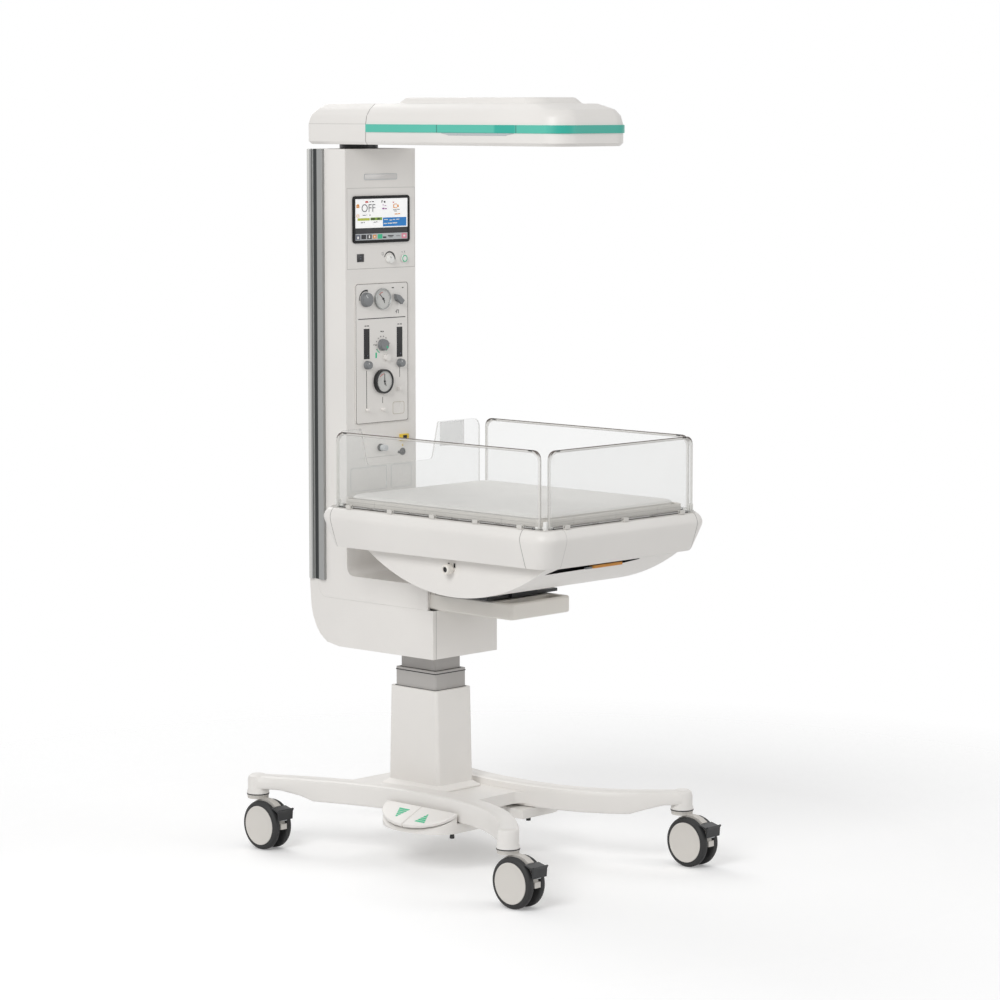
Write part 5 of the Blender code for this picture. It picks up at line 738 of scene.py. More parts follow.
rounded("column_casing", 0.010, 0.09, 0.003, look="casing")
rounded("lower_housing", 0.014, 0.09, 0.003, look="housing")
rounded("rear_cover", 0.010, 0.09, 0.003)
refined("rear_grip", 0.006, angle=35)
for side, sign in sides:
    refined("accessory_rail_" + side, 0.0008, 2, "rail")
refined("chassis_frame", 0.002, 1)
refined("touch_display", 0.001, 2, "bezel")
refined("gas_panel", 0.0006, 2)
rounded("lift_inner_tube", 0.003, 0.0, 0.0006, 2, "tube")
rounded("lift_middle_tube", 0.003, 0.0, 0.0006, 2, "tube")
rounded("lift_cover", 0.008, 0.05, 0.0022, lean=0.03)

gaskets = {  # half x, half y, lower and upper height, wall, body
    "coverGasket": (0.0560, 0.0726, 0.4228, 0.4243, 0.004, "base"),
    "tubeGasket": (0.0470, 0.0630, 0.4708, 0.4722, 0.004, "lift_middle"),
    "tubeCollar": (0.0545, 0.0711, 0.4640, 0.4662, 0.0016, "lift_middle"),
}
gasketProud, gasketRound = 0.0008, 0.004
for name, (half, halfY, z0, z1, wall, body) in gaskets.items():
    outer = (half + gasketProud, -halfY - gasketProud, halfY + gasketProud)
    inner = (half - wall, -halfY + wall, halfY - wall)
    put(name, evenHoop(z0, z1, outer, inner, gasketRound, gasketRound, 4), body, "black_plastic", "dark")
rounded("bed_arm", 0.012, 0.09, 0.003, look="arm")
refined("cradle_plate", 0.0015, 2)
print("column done")


# Display

front = 0.1722          # the front of the display's and the gas panel's plates, y
screen = {"x0": -0.0925, "x1": 0.0925, "top": 1.652, "low": 1.548, "layer": 0.00012, "thick": 0.0001}
screenMarks = {  # look, layer, areas of (left, right, top, bottom) in thousandths of the screen
    "screenWhite": ("screenPaper", 1, [(0, 1000, 0, 705)]),
    "screenDark": ("ink", 1, [(0, 1000, 705, 845)]),
    "screenRow": ("screenGrey", 1, [(0, 1000, 845, 1000)]),
    "screenOrange": ("orange", 2, [(23, 78, 140, 215), (35, 66, 125, 140), (24, 32, 375, 440), (66, 74, 375, 440),
                                   (32, 66, 375, 387), (32, 66, 428, 440), (725, 745, 150, 240),
                                   (745, 800, 135, 155), (745, 800, 225, 245), (800, 830, 160, 220),
                                   (750, 810, 375, 400), (820, 860, 370, 395), (335, 400, 875, 965)]),
    "screenRed": ("red", 2, [(190, 250, 60, 95), (205, 235, 50, 60), (715, 740, 85, 115)]),
    "screenInk": ("ink", 2, [(270, 300, 65, 85), (315, 360, 60, 80), (500, 515, 45, 105), (520, 530, 50, 70),
                             (545, 575, 60, 105), (300, 375, 475, 510), (420, 475, 475, 510),
                             (113, 205, 865, 975), (223, 310, 865, 975), (526, 590, 925, 965),
                             (620, 730, 900, 925), (650, 710, 935, 950)]),
    "screenText": ("knob", 2, [(140, 200, 385, 405), (215, 225, 375, 405), (270, 290, 380, 410),
                               (100, 150, 565, 585), (160, 180, 555, 575), (345, 390, 560, 580),
                               (400, 420, 550, 575), (720, 790, 275, 295), (800, 850, 265, 285),
                               (740, 800, 310, 325), (780, 860, 910, 930)]),
    "screenViolet": ("violet", 2, [(515, 545, 150, 165), (555, 595, 170, 185), (515, 555, 225, 265),
                                   (565, 600, 235, 265)]),
    "screenLime": ("lime", 2, [(43, 275, 465, 525)]),
    "screenGreen": ("leaf", 1.5, [(287, 512, 455, 525)]),
    "screenIcon": ("teal", 2, [(427, 514, 865, 975)]),
    "screenBlue": ("blue", 2, [(525, 977, 465, 680)]),
    "screenSlate": ("slate", 2, [(8, 95, 865, 985)]),
    "screenPink": ("pink", 2, [(885, 985, 860, 985)]),
    "screenLight": ("paper", 3, [(550, 620, 505, 525), (650, 700, 520, 540), (715, 760, 510, 530),
                                 (780, 840, 505, 525), (540, 600, 600, 620), (615, 700, 595, 620),
                                 (710, 800, 590, 615), (35, 68, 905, 965), (255, 280, 885, 955),
                                 (355, 380, 900, 940), (45, 56, 165, 190), (915, 955, 900, 945)]),
}
screenWide, screenTall = screen["x1"] - screen["x0"], screen["top"] - screen["low"]
for name, (look, layer, areas) in screenMarks.items():
    bm, y = None, front - layer * screen["layer"]
    for u0, u1, v0, v1 in areas:
        bm = block(screen["x0"] + u0 / 1000 * screenWide, screen["x0"] + u1 / 1000 * screenWide, y,
                   y + screen["thick"], screen["top"] - v1 / 1000 * screenTall,
                   screen["top"] - v0 / 1000 * screenTall, bm=bm)
    mark(name, bm, look)
lettering("screenOff", "OFF", 0.0285, screen["x0"] + 0.25 * screenWide, front - 0.0004,
          screen["top"] - 0.235 * screenTall, screen["thick"], "knob")
print("display done")


# Controls beside the display and on the gas panel

casing = {"front": 0.1742, "marks": 0.1750, "flush": 0.1757}      # faces of the column casing, y
casingInk = {"y": casing["marks"], "thick": 0.0006}
gasInk = {"y": front - 0.0003, "thick": 0.0005}


def dial(name, x, z, radius, start, end, width, y, steps=14):
    # A bent line round a knob, from start to end in degrees clockwise from the top, thinner at its start.
    bm = None
    length = radians(end - start) * radius / steps * 1.15
    for step in range(steps):
        angle = start + (end - start) * (step + 0.5) / steps
        grow = width * (0.3 + 0.7 * (step + 1) / steps)
        bm = rays(x, z, radius, grow, length, [angle], y, 0.0006, bm)
    mark(name, bm, "ink")


outlines = {  # x0, x1, z0, z1, corner, line, y, depth, look
    "gasPanelOutline": (-0.0925, 0.0925, 1.0832, 1.4378, 0.006, 0.0011, front - 0.0003, 0.0006, "brown"),
    "outletOutline": (0.0370, 0.0790, 1.1010, 1.1330, 0.006, 0.0014, front - 0.0003, 0.0006, "beige_plastic"),
    "recessOutline": (0.0335, 0.1065, 0.912, 0.972, 0.006, 0.0010, 0.1748, 0.0006, "screenGrey"),
    "lowerOutline": (-0.110, 0.018, 0.912, 0.972, 0.006, 0.0010, 0.1748, 0.0006, "screenGrey"),
    "lampFrame": (-0.0577, 0.0577, 1.6995, 1.7145, 0.003, 0.0012, casing["front"], 0.0010, "screenGrey"),
}
for name, (x0, x1, z0, z1, turn, line, y, thick, look) in outlines.items():
    wide, tight = (x0, x1, z0, z1), (x0 + line, x1 - line, z0 + line, z1 - line)
    bm = hoop([(0.0, *wide), (thick, *wide), (thick, *tight), (0.0, *tight)], turn, turn, 4)
    mark(name, moved(bm, Matrix.Translation((0, y + thick, 0)) @ toFront), look)

mark("lampLens", block(-0.0567, 0.0567, casing["front"], casing["flush"], 1.7005, 1.7135, 0.0005), "lens",
     "white_plastic")
mark("dataSocket", block(-0.0840, -0.0600, casing["front"], casing["flush"], 1.4935, 1.5135, 0.0008))
mark("dataSocketMouth", bars([(-735, -705, 15005, 15030), (-745, -695, 15065, 15075)], 0.1738, 0.0004), "slate")
dial("volumeArc", 0.030, 1.498, 0.0165, -70, 95, 0.0050, 0.1749)
bm = bars([(40, 45, 15080, 15160), (45, 90, 15155, 15160), (85, 90, 15080, 15160), (45, 90, 15080, 15085)],
          **casingInk)
bm = rays(0.080, 1.498, 0.0155, 0.0035, 0.0012, [-14], **casingInk, bm=bm)
bm = rays(0.080, 1.498, 0.0155, 0.0045, 0.0012, [16], **casingInk, bm=bm)
bm = rays(-0.078, 1.0675, 0.0, 0.0018, 0.004, [0], **casingInk, bm=bm)
mark("panelMarks", bm, "knob")

panelRear = 0.1719      # where the gas panel's knobs and gauges start, y
knobs = {  # x, z, radius, rear y, depth, look, ribs, the pointer's angle, look and width
    "volume_knob": (0.030, 1.498, 0.011, 0.1752, 0.010, "paper", 24, -40, "ink", 0.0012),
    "suction_knob": (-0.0575, 1.398, 0.0185, panelRear, 0.013, "knob", 30, -40, "paper", 0.0012),
    "blender_knob": (0.0, 1.281, 0.0150, panelRear, 0.0137, "knob", 24, 135, "teal", 0.0042),
    "flow_knob_left": (-0.0545, 1.232, 0.0108, panelRear, 0.0137, "knob", 20, -40, "paper", 0.0012),
    "flow_knob_right": (0.0625, 1.232, 0.0108, panelRear, 0.0137, "knob", 20, -40, "paper", 0.0012),
}
ribs = {"width": 0.001, "inner": 0.86, "length": 0.075, "start": 0.9, "run": 0.6}     # shares of radius and depth
for node, (x, z, radius, rear, depth, look, count, pointer, markLook, wide) in knobs.items():
    bm = turned([(0.0, 0.0), (radius, 0.0), (radius, depth * 0.3), (radius * 0.93, depth * 0.375),
                 (radius * 0.88, depth * 0.92), (radius * 0.80, depth), (0.0, depth)], facing(x, rear, z))
    bm = rays(x, z, radius * ribs["inner"], radius * ribs["length"], ribs["width"],
              [360 * rib / count for rib in range(count)], rear - depth * ribs["start"], depth * ribs["run"], bm)
    put(pieceName(node, "Cap"), bm, node + "_turn", slotOf(node), look, (node,))
    bm = rays(x, z, radius * 0.30, radius * 0.5, wide, [pointer], rear - depth - 0.0001, 0.0002)
    put(pieceName(node, "CapMark"), bm, node + "_turn", "black_plastic", markLook)

gauges = {  # x, z, radius, depth, rim, the ring's look, the needle's angle
    "suction_gauge": (0.0, 1.398, 0.027, 0.0077, 0.0022, "aluminium", -45),
    "pressure_gauge": (0.0, 1.188, 0.031, 0.0117, 0.0045, "black_plastic", 0),
}
for node, (x, z, radius, depth, ring, look, needle) in gauges.items():
    name, place, inside = pieceName(node), facing(x, panelRear, z), radius - ring
    bm = turned([(inside, 0.0), (radius, 0.0), (radius, depth - 0.001), (radius - 0.001, depth),
                 (inside + 0.0005, depth), (inside, depth - 0.0008), (inside, 0.0)], place, 64)
    put(name + "Ring", bm, "upper", "black_plastic", look, (node,))
    put(name + "Dial", disc(inside, 0.0, depth - 0.003, place, 48), "upper", "white_plastic", "dialGrey")
    face = panelRear - depth + 0.003
    dialInk = {"y": face - 0.0002, "thick": 0.0004}
    bm = None
    for tick in range(27):
        long = 0.0035 if tick % 5 == 0 else 0.002
        bm = rays(x, z, inside - 0.0015 - long, long, 0.0005, [tick * 10 - 130], **dialInk, bm=bm)
    bm = rays(x, z, 0.004, radius * 0.3, 0.0022, [155], **dialInk, bm=bm)
    bm = rays(x, z, -radius * 0.28, radius * 0.92, 0.0013, [needle], face - 0.0009, 0.0006, bm)
    bm = disc(0.0028, 0.0, 0.0016, facing(x, face, z), 20, bm)
    mark(name + "Marks", bm, "ink")
    bm = rays(x, z, radius * 0.60, 0.0016, 0.0020, range(-48, 0, 6), face - 0.00015, 0.0003)
    mark(name + "Zone", bm, "red")

# Dots and ticks round the blender knob, captions as dashes, ruled lines and a small outline
gasMarks = [(-52, -12, 13135, 13165), (4, 16, 13125, 13165), (34, 62, 13135, 13160), (-835, 835, 13480, 13500),
            (-560, -545, 11140, 12180), (620, 632, 11950, 12210), (8, 20, 11320, 11480), (355, 430, 14235, 14260),
            (720, 770, 14225, 14250), (520, 535, 13590, 13680), (585, 600, 13590, 13680),
            (535, 585, 13665, 13680), (490, 505, 13620, 13655)]
for x in (-610, -575, -520, -490, 560, 595, 650, 680):
    gasMarks.append((x, x + 22, 13295, 13325))
blender = knobs["blender_knob"][:2]
bm = rays(*blender, 0.0205, 0.0024, 0.0024, (-65, -38, -12, 14, 40, -92, -120), **gasInk)
bm = rays(*blender, 0.0175, 0.014, 0.0012, [-88], **gasInk, bm=bm)
bm = rays(*blender, 0.0175, 0.012, 0.0012, [84], **gasInk, bm=bm)
mark("gasPanelMarks", bars(gasMarks, **gasInk, bm=bm), "ink")
dial("suctionArc", -0.0575, 1.398, 0.0206, -95, 20, 0.0048, gasInk["y"])
bm = rays(*blender, 0.0200, 0.0030, 0.0036, (-150, -138, -126, 130), **gasInk)
mark("blenderScale", bars([(-235, -185, 12480, 12620)], **gasInk, bm=bm), "teal", "green_plastic")

flow = {"half": 0.0100, "low": 1.2470, "high": 1.3240, "left": -0.0085, "firstTick": 1.2520, "pitch": 0.0048,
        "ticks": 15, "line": 0.0005, "float": 0.0016}
for side, x in (("Left", knobs["flow_knob_left"][0]), ("Right", knobs["flow_knob_right"][0])):
    bm = block(x - flow["half"], x + flow["half"], front - 0.0006, front + 0.0002, flow["low"], flow["high"], 0.0004)
    mark("flowTube" + side, bm, "dark")
    bm = None
    for tick in range(flow["ticks"]):
        start, z = x + flow["left"], flow["firstTick"] + tick * flow["pitch"]
        width = 0.0035 if tick % 5 == 0 else 0.002
        bm = block(start, start + width, front - 0.0008, front - 0.0005, z, z + flow["line"], bm=bm)
    r = flow["float"]
    bm = turned([(0.0, -r), (0.0014, -r / 2), (r, 0.0), (0.0014, r / 2), (0.0, r)],
                Matrix.Translation((x + 0.002, front - 0.0012, 1.2560)), 16, bm)
    mark("flowScale" + side, bm, "slate", "white_plastic")

refined("gas_toggle", 0.0012, 2)
refined("power_button", 0.0006, 2, "paper")
bm = turned([(0.0066, 0.0), (0.0090, 0.0), (0.0090, 0.0003), (0.0066, 0.0003), (0.0066, 0.0)],
            facing(0.080, 0.1693, 1.498), 40)
put("powerRing", bm, frame["nodes"]["power_button"]["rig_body"], "green_plastic", "teal")

# Sockets under the gas panel
mark("yellowSocket", block(0.0640, 0.0930, 0.1690, casing["flush"], 1.0310, 1.0480, 0.0010), "yellow")
mark("yellowSocketMouth", block(0.0715, 0.0850, 0.1686, 0.1700, 1.0338, 1.0448), "dark")
barrel = facing(-0.0050, casing["flush"], 1.0185)
bm = turned([(0.0, 0.0), (0.0095, 0.0), (0.0095, 0.0070), (0.0088, 0.0080), (0.0, 0.0080)], barrel, 32)
mark("barrelSocket", bm, "dark")
bm = turned([(0.0, 0.0078), (0.0080, 0.0078), (0.0080, 0.0220), (0.0068, 0.0240), (0.0, 0.0240)], barrel, 32)
mark("barrelSocketCollar", bm, "screenGrey", "light_grey_plastic")
bm = turned([(0.0, 0.0), (0.0090, 0.0), (0.0090, 0.0030), (0.0070, 0.0038), (0.0, 0.0038)],
            facing(0.0745, casing["flush"], 1.0030), 32)
bm = disc(0.0035, 0.0, 0.0040, facing(0.0620, casing["flush"], 1.0020), 20, bm)
mark("roundSocket", bm, "dark")
mark("roundSocketMark", bars([(735, 775, 10160, 10220)], 0.1752, 0.0004), "yellow")
print("controls done")


# Bed

# The skirt's section: heights, and how far in from the waist, from the lower edge round to the well. Its lower edge
# rises from riseFrom to the foot end.
bed = {"half": 0.2925, "front": -0.6725, "rear": 0.1050, "round": 0.036, "frontLow": 0.8042, "riseFrom": -0.20,
       "riseBelow": 0.81,
       "section": [(0.7985, 0.0225), (0.8100, 0.0190), (0.8300, 0.0125), (0.8500, 0.0060), (0.8650, 0.0015),
                   (0.8720, 0.0002), (0.8780, 0.0004), (0.8850, 0.0028), (0.8910, 0.0062), (0.8950, 0.0098),
                   (0.8970, 0.0135), (0.8970, 0.0205), (0.8930, 0.0210), (0.8720, 0.0210)]}


def skirt():
    boxes = [even(z, bed["half"] - draw, bed["front"] + draw, bed["rear"] - draw) for z, draw in bed["section"]]
    bm = stacked(boxes, front=bed["round"], rear=bed["round"], segments=12)
    lowest = bed["section"][0][0]
    for vert in bm.verts:
        if vert.co.z < bed["riseBelow"]:
            lift = max(0.0, min(1.0, (bed["riseFrom"] - vert.co.y) / (bed["riseFrom"] - bed["front"])))
            vert.co.z = max(vert.co.z, lowest + (bed["frontLow"] - lowest) * lift)
    put("skirtShell", bm, "bed", "white_plastic", "skirt", ("bed_skirt",), curvedAngle, shell=True)


tub = {"half": 0.240, "middle": -0.316, "radius": 0.535, "bottom": 0.705, "top": 0.8075, "steps": 72, "soft": 0.006,
       "slotFront": -0.640, "slotDepth": 0.070, "slotX": 0.22, "slotY": -0.55, "slotZ": (0.781, 0.7965),
       "slot": [(-0.214, 0.7822), (0.050, 0.7855), (0.106, 0.7925), (0.104, 0.7950), (-0.190, 0.7960)]}


def belly():
    # A trough whose underside is an arc along y, with a dark slot in its foot side.
    t = tub
    half, radius, top = t["half"], t["radius"], t["top"]
    reach = sqrt(radius ** 2 - (radius + t["bottom"] - top) ** 2)
    bm = bmesh.new()
    bmesh.ops.create_grid(bm, x_segments=1, y_segments=t["steps"], size=0.5)
    moved(bm, boxMatrix(0.0, -half, half, t["middle"] - reach, t["middle"] + reach))
    for vert in bm.verts:
        vert.co.z = t["bottom"] + radius - sqrt(radius ** 2 - (vert.co.y - t["middle"]) ** 2)
    for vert in grownVerts(bm, bm.faces[:]):
        vert.co.z = top
    bmesh.ops.recalc_face_normals(bm, faces=bm.faces[:])
    bevelSharp(bm, t["soft"], 4, radians(60), lambda e: min(abs(v.co.x) for v in e.verts) > half - 0.001
               and min(v.co.z for v in e.verts) < top - 0.001 and abs(e.verts[0].co.y - e.verts[1].co.y) > 0.0001)
    made = put("bellyShell", bm, "bed", "white_plastic", None, ("belly_tub",), curvedAngle)
    cutter = bmesh.new()
    face = cutter.faces.new([cutter.verts.new((x, t["slotFront"] + liftY, z)) for x, z in t["slot"]])
    bmesh.ops.translate(cutter, vec=(0, t["slotDepth"], 0), verts=grownVerts(cutter, [face]))
    bmesh.ops.recalc_face_normals(cutter, faces=cutter.faces[:])
    tool = linked("slotTool", meshOf("slotTool", cutter))
    opening = made.modifiers.new("opening", "BOOLEAN")
    opening.object = tool
    opening.solver = "EXACT"
    mesh = finalMesh(made)
    made.modifiers.clear()
    made.data = mesh
    bpy.data.objects.remove(tool)
    mesh.materials.clear()
    mesh.materials.append(paints["white_plastic"])
    mesh.materials.append(paints["dark"])
    for face in mesh.polygons:
        x, y, z = face.center
        inside = math.hypot(y - liftY - t["middle"], z - t["bottom"] - radius) < radius - 0.001
        face.material_index = int(inside and y < t["slotY"] + liftY and t["slotZ"][0] < z < t["slotZ"][1]
                                  and abs(x) < t["slotX"])
    mesh.set_sharp_from_angle(angle=curvedAngle)
    evenShading(made)


# The pad's section: heights, and how far in from its waist; the pair at 0.92 is the welt.
pad = {"half": 0.2455, "front": -0.6120, "rear": 0.0460, "round": 0.034, "pull": 0.0022,
       "section": [(0.9065, 0.0070), (0.9080, 0.0030), (0.9120, 0.0008), (0.9160, 0.0004), (0.9195, 0.0006),
                   (0.9200, -0.0008), (0.9212, -0.0010), (0.9218, 0.0004), (0.9245, 0.0020), (0.9262, 0.0052),
                   (0.9275, 0.0105), (0.9288, 0.0210), (0.9302, 0.0390), (0.9315, 0.0650), (0.9326, 0.1000),
                   (0.9331, 0.1350)]}


def mattress():
    # Crowned foam in a welted cover: the sides bulge, pull in between the corners, and the top rises.
    boxes = [even(z, pad["half"] - draw, pad["front"] + draw, pad["rear"] - draw) for z, draw in pad["section"]]
    bm = stacked(boxes, front=pad["round"], rear=pad["round"], segments=10)
    middleY, length = (pad["front"] + pad["rear"]) / 2, (pad["rear"] - pad["front"]) / 2
    for vert in bm.verts:
        across, along = vert.co.x / pad["half"], (vert.co.y - middleY) / length
        if abs(across) > 0.9:
            vert.co.x -= math.copysign(pad["pull"], across) * (1 - along ** 2)
        if abs(along) > 0.9:
            vert.co.y -= math.copysign(pad["pull"], along) * (1 - across ** 2)
    made = put("mattressPad", bm, "bed", "mattress_cover", None, ("mattress",), angle=radians(180))
    smooth = made.modifiers.new("smooth", "SUBSURF")
    smooth.levels = smooth.render_levels = 1


panels = {  # the sheet's look, and its thin way, 0 for x and 1 for y
    "panel_left": ("sideRim", 0), "panel_right": ("sideRim", 0), "panel_foot": ("footRim", 1),
    "panel_head": ("sheet", 1)}
panelTabs = 0.905       # the tabs that reach into the hinges are below this height


def panel(node, look, across):
    # A clear sheet with more opaque grey edges, and painted shade on its top faces.
    bm = copied(node)
    bevelSharp(bm, 0.0008, 2, radians(40), lambda e: max(v.co.z for v in e.verts) > 0.92)
    bm.normal_update()
    for face in bm.faces:
        height = face.calc_center_median().z
        # Side faces take the grey edge; top faces, facing upwards, take the painted shade.
        if abs(face.normal[across]) < 0.8 and height > panelTabs:
            face.material_index = 2 if face.normal.z > 0.35 and node != "panel_head" else 1
        elif height <= panelTabs and face.calc_area() < 0.0005:
            face.material_index = 1
    made = put(pieceName(node, "Sheet"), bm, frame["nodes"][node]["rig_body"], "clear_acrylic", look, (node,),
               local=False, shell=True)
    for more in ("edge", "topEdge"):
        made.data.materials.append(paints[more])


skirt()
belly()
mattress()
refined("mattress_tray", 0.0015, 2, "tray")
put("headPad", block(0.1046, 0.1933, 0.0688, 0.0696, 1.0212, 1.0835, 0.0003),
    frame["nodes"]["panel_head"]["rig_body"], "clear_acrylic", "frosted")
put("slotCatch", block(-0.0780, -0.0560, -0.6030, -0.5960, 0.7840, 0.7890, 0.0008), "bed", "light_grey_plastic",
    "knob")
for node, (look, across) in panels.items():
    panel(node, look, across)
refined("panel_clips", 0.0003, 1, "clip")
refined("tilt_lever", 0.001, 2)

sideKnob = Matrix.Translation((-0.2327, -0.310, 0.774)) @ toSide.inverted()
sideProfile = [(0.0, 0.0), (0.0088, 0.0), (0.0088, 0.0050), (0.0108, 0.0085), (0.0124, 0.0135), (0.0129, 0.0200),
               (0.0129, 0.0270), (0.0118, 0.0300), (0.0095, 0.0312), (0.0072, 0.0302), (0.0066, 0.0270),
               (0.0, 0.0270)]
put("sideLockKnob", turned(sideProfile, sideKnob), "side_lock", "light_grey_plastic", "arm", ("side_lock_knob",))
put("sideKnobHole", disc(0.0066, 0.0271, 0.0280, sideKnob), "side_lock", "black_plastic", "dark")
for at, (y, z0, z1) in enumerate(((-0.3210, 0.7775, 0.7885), (-0.3015, 0.7810, 0.7880))):
    put("knobRoot" + str(at), block(-0.2405, -0.2385, y - 0.0028, y + 0.0028, z0, z1), "bed", "black_plastic",
        "dark")

seal = {"low": 0.8890, "high": 0.9020, "outer": (0.2610, -0.6415, 0.0665), "inner": (0.2550, -0.6355, 0.0605)}
put("grooveSeal", evenHoop(seal["low"], seal["high"], seal["outer"], seal["inner"], 0.026, 0.026), "bed",
    "black_plastic", "brown")

# At each corner, a post between the panels and a latch across it with a dark end on both sides
post = {"x": 0.2600, "half": 0.0050, "low": 0.893, "high": 0.9170, "soft": 0.0012}
latch = {"x": 0.2535, "z": 0.8975, "half": 0.0210, "deep": 0.0045, "high": 0.0065, "soft": 0.0018,
         "end": 0.0285, "endDeep": 0.0055, "endHigh": 0.0050, "endSoft": 0.0008}
corners = {"Foot": (-0.640, 0.012), "Head": (0.064, -0.006)}      # the post's y, and from it to the latch
for side, sign in sides:
    for end, (y, shift) in corners.items():
        x, half, label = sign * post["x"], post["half"], end + side.capitalize()
        bm = block(x - half, x + half, y - half, y + half, post["low"], post["high"], post["soft"])
        put("cornerPost" + label, bm, "bed", "white_plastic", "paper")
        turn = Matrix.Rotation(radians(45 if (sign > 0) == (end == "Foot") else -45), 4, "Z")
        place = Matrix.Translation((sign * latch["x"], y + shift, latch["z"])) @ turn
        bm = block(-latch["half"], latch["half"], -latch["deep"], latch["deep"], 0.0, latch["high"], latch["soft"])
        put("cornerLatch" + label, moved(bm, place), "bed", "white_plastic", "paper")
        bm = None
        for x0, x1 in ((-latch["end"], -latch["half"]), (latch["half"], latch["end"])):
            bm = block(x0, x1, -latch["endDeep"], latch["endDeep"], 0.0, latch["endHigh"], latch["endSoft"], bm=bm)
        put("latchEnds" + label, moved(bm, place), "bed", "black_plastic", "dark")
print("bed done")


# Base and foot switches

refined("base_frame", 0.003, 2, angle=40)
arrow = {"bars": 5, "pitch": 0.0066, "bar": 0.0044, "half": 0.0165, "halfWide": 0.0180, "tip": 0.05, "thick": 0.0008}
pedals = {"raise": (0.2160, -0.1885), "lower": (0.2115, -0.1020)}         # the arrow's middle, x and y
rubberFeet = {"left": (-0.181, -0.253), "right": (0.105, -0.242)}


def pedalArrow(side, sign, action):
    # A striped triangle laid on the pedal, pointing out for lower and in for raise.
    pedal = copied(f"foot_pedal_{side}_{action}")
    surface = BVHTree.FromBMesh(pedal)
    pedal.free()
    bm = None
    for at in range(arrow["bars"]):
        start = at * arrow["pitch"] - arrow["half"]
        bm = block(start, start + arrow["bar"], -arrow["halfWide"], arrow["halfWide"], 0.0, arrow["thick"], bm=bm)
    for vert in bm.verts:
        share = (vert.co.x + arrow["half"]) / (2 * arrow["half"])
        vert.co.y *= arrow["tip"] + (1 - arrow["tip"]) * (1 - share if action == "lower" else share)
    x, y = pedals[action]
    moved(bm, Matrix.Translation((sign * x, y, 0.0)) @ Matrix.Rotation(radians(0 if sign > 0 else 180), 4, "Z"))
    for vert in bm.verts:
        struck = surface.ray_cast(Vector((vert.co.x, vert.co.y + liftY, 1.0)), Vector((0, 0, -1)))[0]
        vert.co.z += struck.z if struck else 0.15
    put("pedalArrow" + side.capitalize() + action.capitalize(), bm, f"pedal_{side}_{action}", "green_plastic", "teal")


for side, sign in sides:
    refined("foot_switch_" + side, 0.003, 2, "white_plastic")
    for action in pedals:
        refined(f"foot_pedal_{side}_{action}", 0.003, look="white_plastic", angle=35)
        pedalArrow(side, sign, action)
    bm = turned([(0.0, 0.0), (0.006, 0.0), (0.006, 0.004), (0.005, 0.014), (0.0, 0.014)],
                Matrix.Translation((*rubberFeet[side], 0.0935)), 24)
    put("switchFoot" + side.capitalize(), bm, "base", "black_plastic", "tyre")
print("base done")


# Casters

wheelRadius = 0.0625
tyreProfile = [(0.020, 0.0110), (0.0560, 0.0110), (0.0605, 0.0125), (0.0622, 0.0150), (0.0625, 0.0190),
               (0.0622, 0.0230), (0.0605, 0.0262), (0.0570, 0.0285), (0.0530, 0.0296), (0.0505, 0.0296),
               (0.0500, 0.0280), (0.020, 0.0280), (0.020, 0.0110)]
faceProfile = [(0.0, 0.0270), (0.0498, 0.0270), (0.0500, 0.0300), (0.0492, 0.0306), (0.0470, 0.0306),
               (0.0462, 0.0301), (0.0200, 0.0303), (0.0, 0.0304)]
ringProfile = [(0.0, 0.1290), (0.0262, 0.1290), (0.0262, 0.1325), (0.0278, 0.1330), (0.0278, 0.1368), (0.0, 0.1368)]
hub = {"radius": 0.019, "end": 0.0270}
stem = {"y": 0.0345, "gapRadius": 0.0289, "gapLow": 0.1366, "gapHigh": 0.1392}
plate = {"half": 0.0072, "front": -0.0664, "rear": -0.0640, "low": 0.0800, "high": 0.0876, "soft": 0.0006}
casters = {"front_left": (-0.3155, -0.606), "front_right": (0.3155, -0.606),
           "rear_left": (-0.279, 0.312), "rear_right": (0.279, 0.312)}
for place, (x, y) in casters.items():
    label = place.title().replace("_", "")
    body = "caster_" + place
    tyres, faces = None, None
    for turn in (toSide, toSide.inverted()):
        spot = Matrix.Translation((x, y, wheelRadius)) @ turn
        tyres = turned(tyreProfile, spot, 64, tyres)
        faces = turned(faceProfile, spot, 64, faces)
        faces = disc(hub["radius"], 0.0, hub["end"], spot, 32, faces)
    put("tyres" + label, tyres, body + "_axle", "tyre", None, (body + "_wheels",))
    put("wheelFaces" + label, faces, body + "_axle", "light_grey_plastic", "face")
    refined(body + "_housing", 0.0008, 2, "casterGrey")
    refined(body + "_brake", 0.0008, 2)
    bm = block(x - plate["half"], x + plate["half"], y + plate["front"], y + plate["rear"], plate["low"],
               plate["high"], plate["soft"])
    put("brakePlate" + label, bm, body + "_pedal", "light_grey_plastic", "screenGrey")
    upright = Matrix.Translation((x, y + stem["y"], 0.0))
    put("stemRing" + label, turned(ringProfile, upright), body, "light_grey_plastic", "casterGrey")
    put("stemGap" + label, disc(stem["gapRadius"], stem["gapLow"], stem["gapHigh"], upright, 48), body,
        "black_plastic", "dark")
print("casters done")

for name, node in frame["nodes"].items():
    if not node.hide_render:
        node.data.materials[0] = paints[slotOf(name)]


# Stage, light and camera

studio = {"floorHalf": 3.0, "fadeFrom": 2.4, "fade": 1.2, "glow": 0.16, "world": 0.5}
whiteRays = ("Is Camera Ray", "Is Glossy Ray", "Is Transmission Ray")       # these see the background white

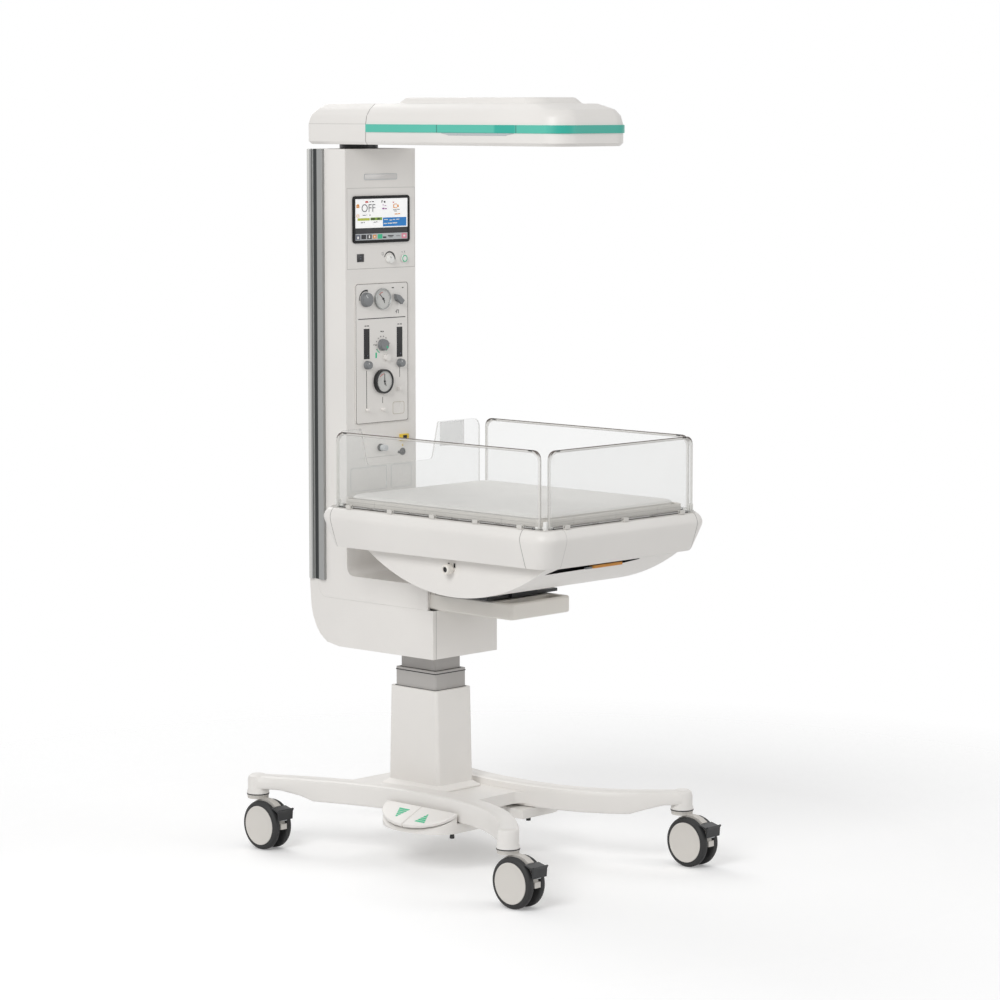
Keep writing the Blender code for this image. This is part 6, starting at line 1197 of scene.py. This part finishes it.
floorPaint = Paint("paleFloor", 0.9)
spread = floorPaint.maths("SQRT", floorPaint.axis("X") * floorPaint.axis("X")
                          + floorPaint.axis("Y") * floorPaint.axis("Y"))
seen = floorPaint.node("ShaderNodeLightPath")
direct, glossy, through = [Value(floorPaint, seen.outputs[ray]) for ray in whiteRays]
glow = floorPaint.mix(floorPaint.clamped(direct + glossy + through), (0.0, 0.0, 0.0, 1.0),
                      (studio["glow"], studio["glow"], studio["glow"], 1.0))
floorPaint.shader.inputs["Emission Strength"].default_value = 1.0
floorPaint.finish(floorPaint.mix(floorPaint.noise(3.0), tone(243, 243, 243), tone(246, 246, 246)),
                  Alpha=floorPaint.clamped((studio["fadeFrom"] - spread) / studio["fade"]), **{"Emission Color": glow})
floorMesh = bmesh.new()
bmesh.ops.create_grid(floorMesh, x_segments=1, y_segments=1, size=studio["floorHalf"])
floor = linked("floor", meshOf("floor", floorMesh))
floor.data.materials.append(floorPaint.material)

world = bpy.data.worlds.new("studio")
world.use_nodes = True
bpy.context.scene.world = world
tree = world.node_tree
tree.nodes.clear()
path = tree.nodes.new("ShaderNodeLightPath")
share = path.outputs[whiteRays[0]]
for ray in whiteRays[1:]:
    either = tree.nodes.new("ShaderNodeMath")
    either.operation = "MAXIMUM"
    tree.links.new(share, either.inputs[0])
    tree.links.new(path.outputs[ray], either.inputs[1])
    share = either.outputs[0]
blend = tree.nodes.new("ShaderNodeMixShader")
tree.links.new(share, blend.inputs[0])
for at, strength in ((1, studio["world"]), (2, 1.0)):
    sky = tree.nodes.new("ShaderNodeBackground")
    sky.inputs["Color"].default_value = (1.0, 1.0, 1.0, 1.0)
    sky.inputs["Strength"].default_value = strength
    tree.links.new(sky.outputs[0], blend.inputs[at])
outward = tree.nodes.new("ShaderNodeOutputWorld")
tree.links.new(blend.outputs[0], outward.inputs[0])

softLights = {  # place, what it is aimed at, size, power
    "keyLight": ((-4.0, -1.2, 3.4), (0, 0, 0.9), 2.4, 104),
    "fillLight": ((2.2, -3.8, 2.4), (0, 0, 0.9), 2.6, 32),
    "backLight": ((1.0, 3.2, 3.2), (0, 0, 1.0), 2.4, 40),
}
for name, (place, aim, size, power) in softLights.items():
    lamp = bpy.data.lights.new(name, "AREA")
    lamp.shape = "DISK"
    lamp.size = size
    lamp.energy = power
    holder = linked(name, lamp)
    holder.location = place
    holder.rotation_euler = (Vector(aim) - Vector(place)).to_track_quat("-Z", "Y").to_euler()

view = {"place": (-6.13129, -5.95448, 1.89191), "azimuth": 46.28777, "pitch": 6.56180, "lens": 124.20527}
lens = bpy.data.cameras.new("photoCamera")
lens.lens = view["lens"]
lens.sensor_width = 36.0
camera = linked("photoCamera", lens)
camera.location = view["place"]
camera.rotation_euler = (radians(90 - view["pitch"]), 0.0, -radians(view["azimuth"]))
bpy.context.scene.camera = camera
bpy.context.scene.view_settings.view_transform = "Standard"

print("scene done")
